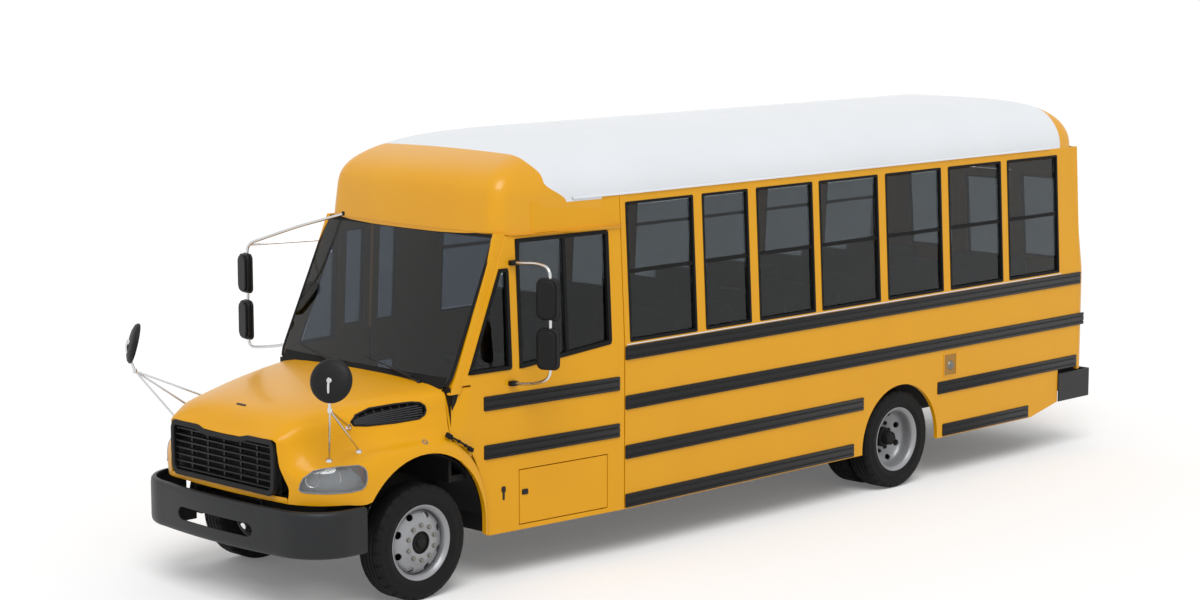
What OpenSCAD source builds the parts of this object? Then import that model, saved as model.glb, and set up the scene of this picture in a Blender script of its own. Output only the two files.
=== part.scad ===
/* [Chassis] */
// Distance from the rear axle to the front axle
wheelbase = 5970; // [5600:10:6100]
// Place of the front axle ahead of the middle of the bus
front_axle_x = 3930; // [3900:5:3950]
// Outer radius of a tyre
tyre_r = 468; // [455:1:475]
// Width of a tyre
tyre_w = 254; // [230:1:270]
// Middle of a front tyre, out from the centre line
front_track_y = 1005; // [990:1:1015]
// Middle of an outer rear tyre, out from the centre line
rear_outer_y = 1062; // [1050:1:1066]
// Middle of an inner rear tyre, out from the centre line
rear_inner_y = 756; // [745:1:765]

/* [Body] */
// Outside of the lower side wall, out from the centre line
wall_y = 1219; // [1200:1:1230]
// Thickness of the walls, roof, caps and doors
wall_t = 40; // [30:1:50]
// Bottom of the skirt
skirt_z = 400; // [380:5:430]
// Height at which the side wall starts to lean in
belt_z = 1820; // [1800:5:1840]
// Foot of the roof
eave_z = 3080; // [3060:5:3100]
// Half of the roof's width at its foot
eave_y = 1150; // [1140:1:1160]
// Top of the roof
crown_z = 3600; // [3580:5:3620]
// Top of the floor
floor_z = 940; // [935:1:950]

/* [Windows] */
// Sill of the passenger windows
sill_z = 1835; // [1825:5:1850]
// Head of the passenger windows
head_z = 3010; // [2990:5:3020]
// Width of a sash bar
sash = 28; // [22:1:32]

/* [Seats] */
// Number of rows of seats
rows = 8; // [6:1:8]
// Distance from one row to the next
row_pitch = 735; // [720:5:760]
// Width of a bench
bench_w = 930; // [900:5:940]

/* [Hidden] */
$fn = 48;
rear_axle_x = front_axle_x - wheelbase;
axle_z = tyre_r;
front_x = 5140;              // front of the front bumper
rear_x = -5140;              // back of the rear bumper
tail_x = -5070;              // back of the rear wall below the belt
tail_top_x = -4950;          // back of the rear wall at the eave
taper_x = 1715;              // where the body starts to narrow forwards
taper = 4.16;                // angle of the narrowing sides
nose_x = 3375;               // front edge of the side wall above the fender
shield_foot = [3560, 1665];  // lower edge of the windshield, x and z
shield_head = [3030, 2825];  // upper edge of the windshield, x and z
corner_r = 420;              // roof corner
roof_rise = crown_z - eave_z;
roof_cy = eave_y - corner_r;
roof_r = (roof_cy * roof_cy + roof_rise * roof_rise - corner_r * corner_r) / (2 * (roof_rise - corner_r));
cap_x = 2560;                // joint of the roof and the front cap
lean = (wall_y - eave_y) / (eave_z - belt_z);
frame_y = 430;               // outside of a frame rail
frame_z0 = 640;
frame_z1 = 880;
king_y = 850;                // kingpin, out from the centre line
spindle_r = 40;
rear_spindle_r = 60;
run_gap = 0.05;              // running clearance on a spindle
rim_r = 298;
mid_z = 2425;                // middle bar of a passenger window
wheel_hub = [2850, 480, 1690];   // middle of the steering wheel
column_tilt = 35;            // lean of the steering column

plate_y = 700;               // middle of the number plate
plate_z = 1190;
plate_pitch_y = 177.8;       // screw holes of a number plate, 7 in by 4.75 in apart
plate_pitch_z = 120.65;
plate_hole_r = 3.5;

// passenger windows: front edge x, rear edge x
WINDOWS = [[1650, 820], [700, 110], [-10, -770], [-870, -1710], [-1830, -2670], [-2790, -3630],
           [-3740, -4580]];
// rub rails: low z, high z, rear x, front x
RAILS = [[1682, 1802, -4960, 1715], [1256, 1378, -5030, 1715], [831, 951, -1480, 1715],
         [831, 951, -4920, -2600],
         [410, 530, -1345, 1715], [410, 530, -4100, -2690]];
// rails of the narrowing front part: low z, high z, start along the side, end along the side
FRONT_RAILS = [[1432, 1552, 60, 1530], [1032, 1152, 60, 1530]];

// a place on the steering column's axis, a distance below the wheel
function column_at(d) = wheel_hub + d * [sin(column_tilt), 0, -cos(column_tilt)];

function wall_at(z) = z <= belt_z ? wall_y : wall_y - (z - belt_z) * lean;

// a block between two corners
module block(lo, hi) {
    translate(lo) cube(hi - lo);
}

// a profile in y and z, drawn along x
module along_x(x0, x1) {
    translate([x0, 0, 0]) rotate([90, 0, 90]) linear_extrude(x1 - x0) children();
}

// a profile in x and z, drawn along y
module along_y(y0, y1) {
    translate([0, y1, 0]) rotate([90, 0, 0]) linear_extrude(y1 - y0) children();
}

// a round bar across the bus
module round_y(x, z, y0, y1, r) {
    translate([x, y1, z]) rotate([90, 0, 0]) cylinder(h = y1 - y0, r = r);
}

// a round rod between two points
module rod(a, b, r) {
    d = b - a;
    len_xy = norm([d[0], d[1]]);
    translate(a) rotate([0, atan2(len_xy, d[2]), atan2(d[1], d[0])]) cylinder(h = norm(d), r = r);
}

// a tube along a list of points, with round elbows
module bent_tube(points, r) {
    for (k = [1:len(points) - 1]) rod(points[k - 1], points[k], r);
    for (k = [1:len(points) - 2]) translate(points[k]) sphere(r = r + 2);
}

module both_sides() {
    children();
    mirror([0, 1, 0]) children();
}

// the frame of the narrowing front part: x runs forwards along the left side from where it starts
module front_side() {
    translate([taper_x, wall_y, 0]) rotate([0, 0, -taper]) translate([0, -wall_y, 0]) children();
}

// section of the left wall
module wall_section() {
    polygon([[wall_y, skirt_z], [wall_y, belt_z], [eave_y, eave_z], [eave_y - wall_t, eave_z],
             [wall_y - wall_t, belt_z], [wall_y - wall_t, skirt_z]]);
}

// a band of the left wall between two heights and two depths in from its outside
module wall_band(z0, z1, in0, in1) {
    polygon([[wall_at(z0) - in0, z0], [wall_at(z1) - in0, z1], [wall_at(z1) - in1, z1],
             [wall_at(z0) - in1, z0]]);
}

// side view of the whole body: the tail leans, the front follows the fender, cowl and windshield
module body_outline() {
    polygon([[tail_x, skirt_z], [tail_x, belt_z], [tail_top_x, eave_z], [2680, eave_z], [2680, 2830],
             [2960, 2830],
             [3480, 1665], [nose_x, 1665], [nose_x, 1120], [3330, 1040], [3265, 890], [3215, 700], [3200, 400]]);
}

/* Frame and running gear */

module frame_rails() {
    color("dimgray") both_sides() difference() {
        block([-4990, frame_y - 80, frame_z0], [4980, frame_y, frame_z1]);
        block([-5000, frame_y - 90, frame_z0 + 12], [4990, frame_y - 10, frame_z1 - 12]);
    }
}

module crossmembers() {
    color("dimgray") for (x = [-4900, -4350, -2900, -1400, -200, 1000, 2200, 3340, 4900])
        block([x, -frame_y + 10, frame_z0 + 75], [x + 70, frame_y - 10, frame_z1 - 60]);
}

module leaf_springs() {
    // axle x, half length, underside z
    color("black") both_sides() for (s = [[front_axle_x, 620, 530], [rear_axle_x, 640, 545]]) {
        for (leaf = [0:2])
            block([s[0] - s[1] + leaf * 130, frame_y - 78, s[2] + 40 - leaf * 20],
                  [s[0] + s[1] - leaf * 130, frame_y - 2, s[2] + 60 - leaf * 20]);
        for (end = [-1, 1])
            block([s[0] + end * (s[1] - 35) - 35, frame_y - 78, s[2] + 60],
                  [s[0] + end * (s[1] - 35) + 35, frame_y - 2, frame_z0]);
    }
}

module front_axle() {
    color("dimgray") {
        difference() {
            block([front_axle_x - 45, -king_y + 52, 420], [front_axle_x + 45, king_y - 52, 530]);
            for (side = [-1, 1])
                block([front_axle_x + side * 45 - 30, -king_y + 110, 442],
                      [front_axle_x + side * 45 + 30, king_y - 110, 508]);
        }
        both_sides() translate([front_axle_x, king_y, 420]) difference() {
            cylinder(h = 110, r = 58);
            translate([0, 0, -1]) cylinder(h = 112, r = 25 + run_gap);
        }
    }
}

module rear_axle() {
    color("dimgray") {
        round_y(rear_axle_x, axle_z, -560, 560, 75);
        translate([rear_axle_x, 0, axle_z]) sphere(r = 190);
        both_sides() {
            round_y(rear_axle_x, axle_z, 560, 1040, rear_spindle_r);
            round_y(rear_axle_x, axle_z, 500, 560, 175);
        }
    }
}

module driveshaft() {
    color("silver") rod([rear_axle_x + 192, 0, 490], [3430, 0, 660], 45);
}

module engine_block() {
    color("slategray") {
        block([3620, -300, 600], [4640, 300, 1430]);
        block([3432, -220, 560], [3620, 220, 880]);
    }
}

module radiator() {
    color("black") {
        block([4760, -335, 690], [4840, 335, 1330]);
        rod([4700, 0, 1000], [4720, 0, 1000], 250);
        rod([4715, 0, 1000], [4765, 0, 1000], 60);
    }
}

module fuel_tank() {
    color("gray") difference() {
        block([-4250, -330, 440], [-2950, 330, 860]);
        for (side = [-1, 1])
            translate([0, side * 330, 440]) rotate([45, 0, 0]) cube([9000, 80, 80], center = true);
    }
}

module exhaust() {
    color("silver") {
        rod([400, -530, 660], [1600, -530, 660], 100);
        rod([1590, -530, 660], [3140, -530, 690], 45);
        difference() {
            bent_tube([[410, -530, 660], [-1350, -530, 760], [-2750, -530, 790], [-4700, -530, 440],
                       [-5110, -530, 440]], 45);
            rod([-5111, -530, 440], [-4900, -530, 440], 41);
        }
    }
}

/* Wheels, knuckles and steering */

module tyre_form() {
    rotate_extrude() polygon([[rim_r - 10, -95], [rim_r + 12, -112], [350, -tyre_w / 2],
                              [420, -tyre_w / 2 + 4],
                              [455, -108], [tyre_r, -88], [tyre_r, 88], [455, 108], [420, tyre_w / 2 - 4],
                              [350, tyre_w / 2], [rim_r + 12, 112], [rim_r - 10, 95]]);
}

// a rim whose disc stands at a height along the axle, with its hub
module rim_form(disc, hub0, hub1, hub_r, bore) {
    difference() {
        union() {
            rotate_extrude() polygon([[rim_r - 10, -95], [rim_r + 10, -111], [rim_r - 2, -113],
                                      [rim_r - 22, -90],
                                      [rim_r - 48, -30], [rim_r - 48, 30], [rim_r - 22, 90], [rim_r - 2, 113],
                                      [rim_r + 10, 111], [rim_r - 10, 95], [rim_r - 36, 30], [rim_r - 36, -30]]);
            translate([0, 0, disc - 7]) difference() {
                cylinder(h = 14, r = rim_r - 30);
                for (k = [0:9]) rotate([0, 0, k * 36]) translate([200, 0, -1]) cylinder(h = 16, r = 26);
            }
            translate([0, 0, hub0]) cylinder(h = hub1 - hub0, r = hub_r);
        }
        translate([0, 0, hub0 - 1]) cylinder(h = hub1 - hub0 - 20, r = bore);
    }
}

// puts a wheel's axis across the bus, its outer side away from the centre line
module on_axle(x, y, side) {
    translate([x, side * y, axle_z]) rotate([side * -90, 0, 0]) children();
}

module front_tyre(side) {
    color("black") on_axle(front_axle_x, front_track_y, side) tyre_form();
}

module front_rim(side) {
    color("silver") on_axle(front_axle_x, front_track_y, side)
        rim_form(60, -86, 130, 95, spindle_r + run_gap);
}

module rear_tyres(side) {
    color("black") for (y = [rear_inner_y, rear_outer_y]) on_axle(rear_axle_x, y, side) tyre_form();
}

module rear_rims(side) {
    color("silver") {
        on_axle(rear_axle_x, rear_outer_y, side) rim_form(-60, -140, 60, 95, rear_spindle_r + run_gap);
        on_axle(rear_axle_x, rear_inner_y, side) difference() {
            rim_form(60, 60, 166, 130, 90);
            translate([0, 0, 50]) cylinder(h = 130, r = 96);
        }
    }
}

module knuckle(side) {
    color("dimgray") {
        translate([front_axle_x, side * king_y, 380]) cylinder(h = 190, r = 25);
        for (z = [370, 535]) translate([front_axle_x, side * king_y, z]) cylinder(h = 45, r = 50);
        translate([front_axle_x, 0, 0]) {
            block([-40, min(side * (king_y + 60), side * (king_y + 62)) - 2, 370],
                  [40, max(side * (king_y + 60), side * (king_y + 62)) + 2, 580]);
            for (z = [370, 535]) block([-40, min(side * king_y, side * (king_y + 62)), z],
                                       [40, max(side * king_y, side * (king_y + 62)), z + 45]);
        }
        on_axle(front_axle_x, king_y + 60, side) cylinder(h = front_track_y - king_y + 45, r = spindle_r);
        // steering arm to the tie rod
        block([front_axle_x - 240, side * king_y - 15, 370], [front_axle_x - 30, side * king_y + 15, 400]);
    }
}

module tie_rod() {
    color("silver") rod([front_axle_x - 225, -king_y, 352], [front_axle_x - 225, king_y, 352], 18);
}

module steering_wheel() {
    color("black") translate(wheel_hub) rotate([0, -column_tilt, 0]) {
        rotate_extrude() translate([225, 0]) circle(r = 16, $fn = 24);
        cylinder(h = 40, r = 60, center = true);
        for (a = [30, 150, 270]) rotate([0, 0, a]) translate([50, -14, -8]) cube([165, 28, 16]);
        translate([0, 0, -60]) cylinder(h = 60, r = 30);
    }
}

/* Bumpers */

module front_bumper_plan(inset) {
    polygon([[front_x - inset, -560], [front_x - inset, 560], [4865 - inset, 1150 - inset / 3],
             [4790, 1180 - inset],
             [4545, 1180 - inset], [4545, -1180 + inset], [4790, -1180 + inset], [4865 - inset, -1150 + inset / 3]]);
}

module front_bumper() {
    color("dimgray") difference() {
        translate([0, 0, 500]) linear_extrude(360) front_bumper_plan(0);
        translate([0, 0, 480]) linear_extrude(400) front_bumper_plan(30);
        block([4500, -1300, 480], [4600, 1300, 560]);
        block([front_x - 200, -400, 610], [front_x + 10, 400, 700]);
    }
    color("dimgray") both_sides() block([4980, frame_y - 80, 690], [front_x - 30, frame_y, 830]);
}

module rear_bumper() {
    color("dimgray") difference() {
        block([rear_x, -1235, 500], [-4600, 1235, 790]);
        block([rear_x + 30, -1222, 490], [-4590, 1222, 800]);
    }
    color("dimgray") both_sides() block([rear_x + 30, frame_y - 80, 660], [-4990, frame_y, 770]);
}

/* Body shell */

module rear_arch() {
    round_y(rear_axle_x, 430, -1300, 1300, 570);
}

module passenger_wall() {
    difference() {
        intersection() {
            along_x(tail_x, taper_x) wall_section();
            along_y(900, 1300) body_outline();
        }
        for (w = WINDOWS) block([w[1], 1000, sill_z], [w[0], 1300, head_z]);
        rear_arch();
        // sloping skirt end ahead of the rear bumper
        along_y(900, 1300) polygon([[-4100, 390], [tail_x - 10, 390], [tail_x - 10, 830], [-4600, 830],
                                    [-4600, 500]]);
    }
}

module front_wall() {
    intersection() {
        front_side() along_x(10, 1900) wall_section();
        along_y(900, 1300) body_outline();
    }
}

// driver's window and quarter window, measured along the narrowing side
module driver_window(inset) {
    polygon([[150 + inset, 1840 + inset], [1155 - inset, 1740 + inset], [1155 - inset, 2800 - inset],
             [150 + inset, 2800 - inset]]);
}

module quarter_window(inset) {
    polygon([[1235 + inset, 1745 + inset], [1690 - 2.2 * inset, 1745 + inset],
             [1335 - inset / 3, 2570 - 2 * inset],
             [1235 + inset, 2570 - 2 * inset]]);
}

module left_wall() {
    color("orange") passenger_wall();
}

module right_wall() {
    color("orange") mirror([0, 1, 0]) passenger_wall();
}

module driver_side() {
    color("orange") difference() {
        front_wall();
        front_side() along_y(1000, 1300) {
            driver_window(0);
            quarter_window(0);
        }
        front_side() block([195, 1100, 440], [1165, 1300, 905]);
    }
}

module entrance_side() {
    color("orange") mirror([0, 1, 0]) difference() {
        front_wall();
        front_side() {
            block([430, 1100, 390], [1220, 1300, 2800]);
            along_y(1000, 1300) quarter_window(0);
        }
    }
}

module rear_section() {
    polygon([[tail_x, 800], [tail_x, belt_z], [tail_top_x, eave_z], [tail_top_x + wall_t, eave_z],
             [tail_x + wall_t, belt_z], [tail_x + wall_t, 800]]);
}

module rear_wall() {
    color("orange") difference() {
        intersection() {
            along_y(-wall_y + wall_t, wall_y - wall_t) rear_section();
            along_x(tail_x - 10, tail_top_x + 100) polygon([[-wall_at(0) + wall_t, 700],
                                                            [wall_at(0) - wall_t, 700],
                [wall_at(0) - wall_t, belt_z], [eave_y - wall_t, eave_z], [-eave_y + wall_t, eave_z],
                [-wall_at(0) + wall_t, belt_z]]);
        }
        block([tail_x - 10, -350, 955], [tail_top_x + 100, 350, 2790]);
        both_sides() block([tail_x - 10, 450, 1900], [tail_top_x + 100, 1020, 2750]);
        // screw holes of the number plate
        for (y = [-plate_pitch_y, plate_pitch_y], z = [-plate_pitch_z, plate_pitch_z])
            translate([tail_x - 10, plate_y + y / 2, plate_z + z / 2]) rotate([0, 90,
                                                            0]) cylinder(h = 90, r = plate_hole_r);
    }
}

module roof_section(inset) {
    intersection() {
        union() {
            intersection() {
                translate([0, crown_z - roof_r]) circle(r = roof_r - inset, $fn = 180);
                square([2 * roof_cy + 2 * (corner_r - inset) * roof_cy / (roof_r - corner_r),
                        2 * crown_z], center = true);
            }
            for (side = [-1, 1]) translate([side * roof_cy, eave_z]) circle(r = corner_r - inset, $fn = 96);
        }
        translate([-eave_y, eave_z]) square([2 * eave_y, roof_rise]);
    }
}

module roof_outline(inset) {
    polygon([[tail_top_x + inset, eave_z - 1], [tail_top_x + 15 + inset, 3240],
             [-4880 + inset, 3400 - inset / 2],
             [-4740 + inset / 2, 3540 - inset], [-4500, crown_z - inset], [1800, crown_z - inset],
             [2450, 3570 - inset], [2760 - inset / 2, 3490 - inset], [2930 - inset, 3360 - inset],
             [3010 - inset, 3200], [3025 - inset, eave_z - 1]]);
}

module roof_plan(inset) {
    slope = tan(taper);
    half = eave_y - inset;
    polygon([[tail_top_x - 50, -half], [tail_top_x - 50, half], [taper_x, half],
             [3100, half - (3100 - taper_x) * slope],
             [3100, -half + (3100 - taper_x) * slope], [taper_x, -half]]);
}

module roof_form(inset) {
    intersection() {
        along_x(tail_top_x, 3100) roof_section(inset);
        along_y(-eave_y, eave_y) roof_outline(inset);
        translate([0, 0, eave_z]) linear_extrude(roof_rise) roof_plan(inset);
    }
}

module roof_shell() {
    difference() {
        roof_form(0);
        roof_form(wall_t);
    }
}

module roof() {
    color("white") intersection() {
        roof_shell();
        block([-5200, -1300, eave_z], [cap_x, 1300, crown_z]);
    }
}

module cap_band_plan(inset) {
    slope = tan(taper);
    half = eave_y + 14 - inset;
    polygon([[2680, -half + (2680 - taper_x) * slope], [2680, half - (2680 - taper_x) * slope],
             [3025 - inset, half - (3025 - taper_x) * slope], [3025 - inset,
                                                            -half + (3025 - taper_x) * slope]]);
}

module front_cap() {
    color("orange") {
        intersection() {
            roof_shell();
            block([cap_x, -1300, eave_z], [3200, 1300, crown_z]);
        }
        // the band under the eave, with the pillars beside the windshield
        difference() {
            translate([0, 0, 2830]) linear_extrude(eave_z - 2830) cap_band_plan(0);
            translate([0, 0, 2800]) linear_extrude(400) translate([-1, 0]) cap_band_plan(wall_t);
        }
        both_sides() intersection() {
            along_y(1000, 1150) polygon([shield_foot, shield_head, [shield_head[0] - 70, 2830],
                                         [3480, 1665]]);
            front_side() along_x(1000, 2000) wall_section();
        }
    }
}

module windshield() {
    color("black") intersection() {
        along_y(-1135, 1135) polygon([[3545, 1665], [3557, 1665], [3028, 2824], [3016, 2824]]);
        translate([0, 0, 1600]) linear_extrude(1300) polygon([[2900, -1018], [2900, 1018], [3600, 1036],
                                                            [3600, -1036]]);
    }
}

module cowl() {
    color("orange") {
        // sides, top and firewall ahead of the doors
        difference() {
            intersection() {
                translate([0, 0, 900]) linear_extrude(765)
                    polygon([[nose_x, -1098], [nose_x, 1098], [3575, 1084], [3575, -1084]]);
                along_y(-1200, 1200) polygon([[nose_x, 1120], [nose_x, 1665], [3575, 1665],
                                              [3575, 1300], [3480, 1180]]);
            }
            block([nose_x - 10, -1062, 900], [3545, 1062, 1635]);
        }
        block([3545, -1050, floor_z], [3575, 1050, 1290]);
        // bulkheads behind the front wheels
        both_sides() block([3150, 480, 420], [3190, 1060, floor_z - 50]);
        block([3190, -1050, floor_z - 50], [3575, 1050, floor_z]);
    }
}

module floor_plan() {
    polygon([[tail_x + wall_t, -1179], [tail_x + wall_t, 1179], [1700, 1179], [taper_x, 1177], [3190, 1069],
             [3190, -1069], [taper_x, -1177], [1700, -1179]]);
}

module floor() {
    color("gray") difference() {
        translate([0, 0, floor_z - 50]) linear_extrude(50) floor_plan();
        both_sides() block([rear_axle_x - 560, 590, 800], [rear_axle_x + 560, 1300, 1000]);
        block([2145, -1300, 800], [2930, -620, 1000]);
    }
}

// boxes over the rear wheels, standing on the cabin floor
module wheel_housings() {
    color("gray") both_sides() difference() {
        block([rear_axle_x - 580, 570, floor_z], [rear_axle_x + 580, 1179, 1040]);
        block([rear_axle_x - 560, 590, floor_z - 10], [rear_axle_x + 560, 1200, 1010]);
    }
}

module entry_steps() {
    color("gray") {
        difference() {
            block([2145, -1080, 420], [2930, -620, floor_z]);
            block([2165, -1200, 440], [2910, -900, 1000]);
            block([2165, -901, 690], [2910, -640, 1000]);
            block([2165, -880, 400], [2910, -640, 670]);
        }
    }
}

module battery_box() {
    color("dimgray") difference() {
        front_side() block([205, 760, 450], [1150, 1150, 885]);
        front_side() block([215, 770, 460], [1140, 1200, 875]);
    }
    color("black") for (k = [0:2]) front_side() block([240 + k * 300, 800, 460], [490 + k * 300, 1110, 690]);
}

/* Glass and trim */

module passenger_sash(w) {
    along_x(w[1], w[0]) wall_band(sill_z, head_z, 12, 36);
}

module passenger_panes(w, in0, in1) {
    along_x(w[1] + sash, w[0] - sash) {
        wall_band(sill_z + sash, mid_z - 18, in0, in1);
        wall_band(mid_z + 18, head_z - sash, in0, in1);
    }
}

// bars of the driver's window, measured along the narrowing side
module driver_panes(in0, in1) {
    intersection() {
        along_x(-10, 1900) wall_band(1700, 2850, in0, in1);
        along_y(1000, 1300) {
            difference() {
                driver_window(sash);
                translate([620, 1700]) square([32, 1200]);
            }
        }
    }
}

module quarter_pane(in0, in1) {
    intersection() {
        along_x(-10, 1900) wall_band(1700, 2850, in0, in1);
        along_y(1000, 1300) quarter_window(sash);
    }
}

module window_sashes() {
    color("black") {
        both_sides() difference() {
            for (w = WINDOWS) passenger_sash(w);
            for (w = WINDOWS) passenger_panes(w, 0, 60);
        }
        front_side() difference() {
            intersection() {
                along_x(-10, 1900) wall_band(1700, 2850, 12, 36);
                along_y(1000, 1300) {
                    driver_window(0);
                    quarter_window(0);
                }
            }
            driver_panes(0, 60);
            quarter_pane(0, 60);
        }
        mirror([0, 1, 0]) front_side() difference() {
            intersection() {
                along_x(-10, 1900) wall_band(1700, 2850, 12, 36);
                along_y(1000, 1300) quarter_window(0);
            }
            quarter_pane(0, 60);
        }
    }
}

module window_glass() {
    color("black") {
        both_sides() for (w = WINDOWS) passenger_panes(w, 20, 26);
        front_side() {
            driver_panes(20, 26);
            quarter_pane(20, 26);
        }
        mirror([0, 1, 0]) front_side() quarter_pane(20, 26);
        both_sides() intersection() {
            along_y(450, 1020) polygon([[tail_x + 15, 1900 - 1], [tail_x + 15, 1900],
                                        [tail_top_x + 15, 2900],
                                        [tail_top_x + 21, 2900], [tail_x + 21, 1900 - 1]]);
            block([-5200, 450, 1900], [-4800, 1020, 2750]);
        }
    }
}

module rub_rails() {
    color("black") {
        both_sides() for (r = RAILS) block([r[2], wall_y, r[0]], [r[3], wall_y + 12, r[1]]);
        for (r = FRONT_RAILS) {
            front_side() block([r[2], wall_y, r[0]], [r[3], wall_y + 12, r[1]]);
            // on the other side the rails stop either side of the entrance
            mirror([0, 1, 0]) front_side() {
                block([r[2], wall_y, r[0]], [370, wall_y + 12, r[1]]);
                block([1280, wall_y, r[0]], [r[3], wall_y + 12, r[1]]);
            }
        }
    }
}

// everything inside the outer faces of the narrowing sides and the band over the windshield
module front_solid() {
    both_sides() front_side() along_x(-100, 2200)
        polygon([[0, 300], [wall_y, 300], [wall_y, belt_z], [eave_y, eave_z], [0, eave_z]]);
    translate([0, 0, 2830]) linear_extrude(eave_z - 2830) cap_band_plan(0);
}

module mirror_heads(x, y) {
    for (z = [1930, 2335]) block([x - 60, y - 90, z - 160], [x + 30, y + 90, z + 190]);
}

module side_mirrors() {
    color("black") {
        mirror_heads(2920, 1500);
        mirror_heads(3640, -1500);
        difference() {
            union() {
                bent_tube([[2900, 1080, 2610], [2845, 1500, 2600], [2845, 1500, 1700],
                           [2950, 1110, 1630]], 14);
                bent_tube([[3010, -830, 2860], [3565, -1500, 2600], [3565, -1500, 1700],
                           [3450, -1070, 1760]], 14);
            }
            front_solid();
        }
    }
}

module tail_lamps() {
    color("red") both_sides() {
        for (l = [[1520, 95], [1760, 70]]) translate([tail_x, 780, l[0]]) rotate([0, -90,
                                                            0]) cylinder(h = 30, r = l[1]);
        translate([tail_x, 1040, 1520]) rotate([0, -90, 0]) cylinder(h = 30, r = 70);
    }
}

module wipers() {
    color("black") for (y = [-480, 420]) {
        translate([3585, y, 1690]) rotate([0, 65, 0]) cylinder(h = 40, r = 22, center = true);
        rod([3590, y, 1700], [3560, y - 480, 1790], 9);
    }
}

/* Inside */

module dashboard() {
    color("dimgray") {
        block([3200, -1020, 1330], [3540, 1020, 1600]);
        block([3130, 250, 1290], [3200, 760, 1560]);
        rod(column_at(66), column_at(870), 28);
    }
}

module driver_seat() {
    color("black") {
        block([2240, 270, 1330], [2700, 700, 1440]);
        block([2150, 280, 1440], [2260, 690, 2080]);
        block([2300, 350, floor_z], [2600, 620, 1330]);
    }
}

// front of each bench, from the first row back
function bench_x(row) = 1480 - row * row_pitch;

module seat_frames() {
    color("gray") both_sides() for (row = [0:rows - 1]) {
        for (x = [60, 340]) block([bench_x(row) - x - 25, 300, floor_z], [bench_x(row) - x, 340, 1290]);
        block([bench_x(row) - 400, 225, 1290], [bench_x(row) - 20, 1150, 1310]);
    }
}

module passenger_seats() {
    color("black") both_sides() for (row = [0:rows - 1]) {
        block([bench_x(row) - 400, 225, 1311], [bench_x(row), 225 + bench_w, 1430]);
        block([bench_x(row) - 490, 225, 1290], [bench_x(row) - 401, 225 + bench_w, 2010]);
    }
}

/* Hood */

module hood_side(t) {
    polygon([[3590, 880], [3590, 1665 - t], [3700, 1690 - t], [4250, 1625 - t], [4680, 1520 - t],
             [4900, 1425 - t],
             [5000 - t, 1330], [5020 - t, 880]]);
}

module hood_front(t) {
    polygon([[-1095 + t, 880], [-1095 + t, 1430], [-960 + t, 1610 - t], [-600, 1690 - t], [600, 1690 - t],
             [960 - t, 1610 - t], [1095 - t, 1430], [1095 - t, 880]]);
}

module hood_plan(t) {
    polygon([[3590, -1085 + t], [3590, 1085 - t], [4200, 1040 - t], [4700, 910 - t], [5020 - t, 700 - t],
             [5020 - t, -700 + t], [4700, -910 + t], [4200, -1040 + t]]);
}

module fender_side(t) {
    polygon([[3225 + t, 410], [3240 + t, 700], [3290 + t, 890], [3375 + t, 1040], [3590, 1230], [3590, 1440],
             [3900, 1440 - t], [4300, 1380 - t], [4700, 1290 - t], [4960 - t, 1180 - t], [4985 - t, 895],
             [4530, 860], [4530, 410]]);
}

module fender_front(t) {
    polygon([[-1165 + t, 400], [-1165 + t, 1230 - t], [-1085, 1360 - t], [-900, 1440 - t], [900, 1440 - t],
             [1085, 1360 - t], [1165 - t, 1230 - t], [1165 - t, 400]]);
}

module fender_plan(t) {
    polygon([[3225 + t, -1150 + t], [3225 + t, 1150 - t], [3500, 1165 - t], [4400, 1165 - t],
             [4700, 1120 - t],
             [4900, 990 - t], [4985 - t, 800 - t], [4985 - t, -800 + t], [4900, -990 + t], [4700, -1120 + t],
             [4400, -1165 + t], [3500, -1165 + t]]);
}

module hood_form(t) {
    intersection() {
        along_y(-1200, 1200) hood_side(t);
        along_x(3000, 5200) hood_front(t);
        translate([0, 0, 400]) linear_extrude(1400) hood_plan(t);
    }
    intersection() {
        along_y(-1200, 1200) fender_side(t);
        along_x(3000, 5200) fender_front(t);
        translate([0, 0, 400]) linear_extrude(1400) fender_plan(t);
    }
}

module lamp_zone() {
    both_sides() block([4600, 800, 985], [5000, 1200, 1195]);
}

module hood() {
    color("orange") difference() {
        hood_form(0);
        hood_form(25);
        block([3100, -1104, 300], [3592, 1104, 1800]);
        block([3100, -1140, 300], [4990, 1140, 881]);
        round_y(3910, 550, -1300, 1300, 640);
        block([3900, -1300, 300], [4535, 1300, 862]);
        block([4985, -665, 930], [5100, 665, 1390]);
        lamp_zone();
        block([3100, -900, 1100], [3592, 900, 1800]);
    }
}

module grille() {
    color("black") {
        difference() {
            block([4990, -665, 930], [5040, 665, 1390]);
            block([4980, -625, 970], [5050, 625, 1350]);
        }
        for (k = [0:5]) block([5000, -625, 1010 + k * 60], [5030, 625, 1030 + k * 60]);
        for (k = [-2:2]) block([4985, k * 250 - 12, 970], [5000, k * 250 + 12, 1350]);
    }
}

module headlamps() {
    color("white") intersection() {
        difference() {
            hood_form(0);
            hood_form(60);
        }
        lamp_zone();
    }
}

module crossview_mirrors() {
    color("black") difference() {
        both_sides() {
            translate([4960, 1270, 1920]) rotate([0, 75, 30]) cylinder(h = 60, r1 = 170, r2 = 120,
                                                            center = true);
            bent_tube([[4940, 1262, 1880], [4950, 1250, 1680], [4640, 930, 1400]], 11);
            rod([4950, 1250, 1680], [4440, 860, 1400], 10);
        }
        hood_form(0);
    }
}

/* Doors and hatch */

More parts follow.
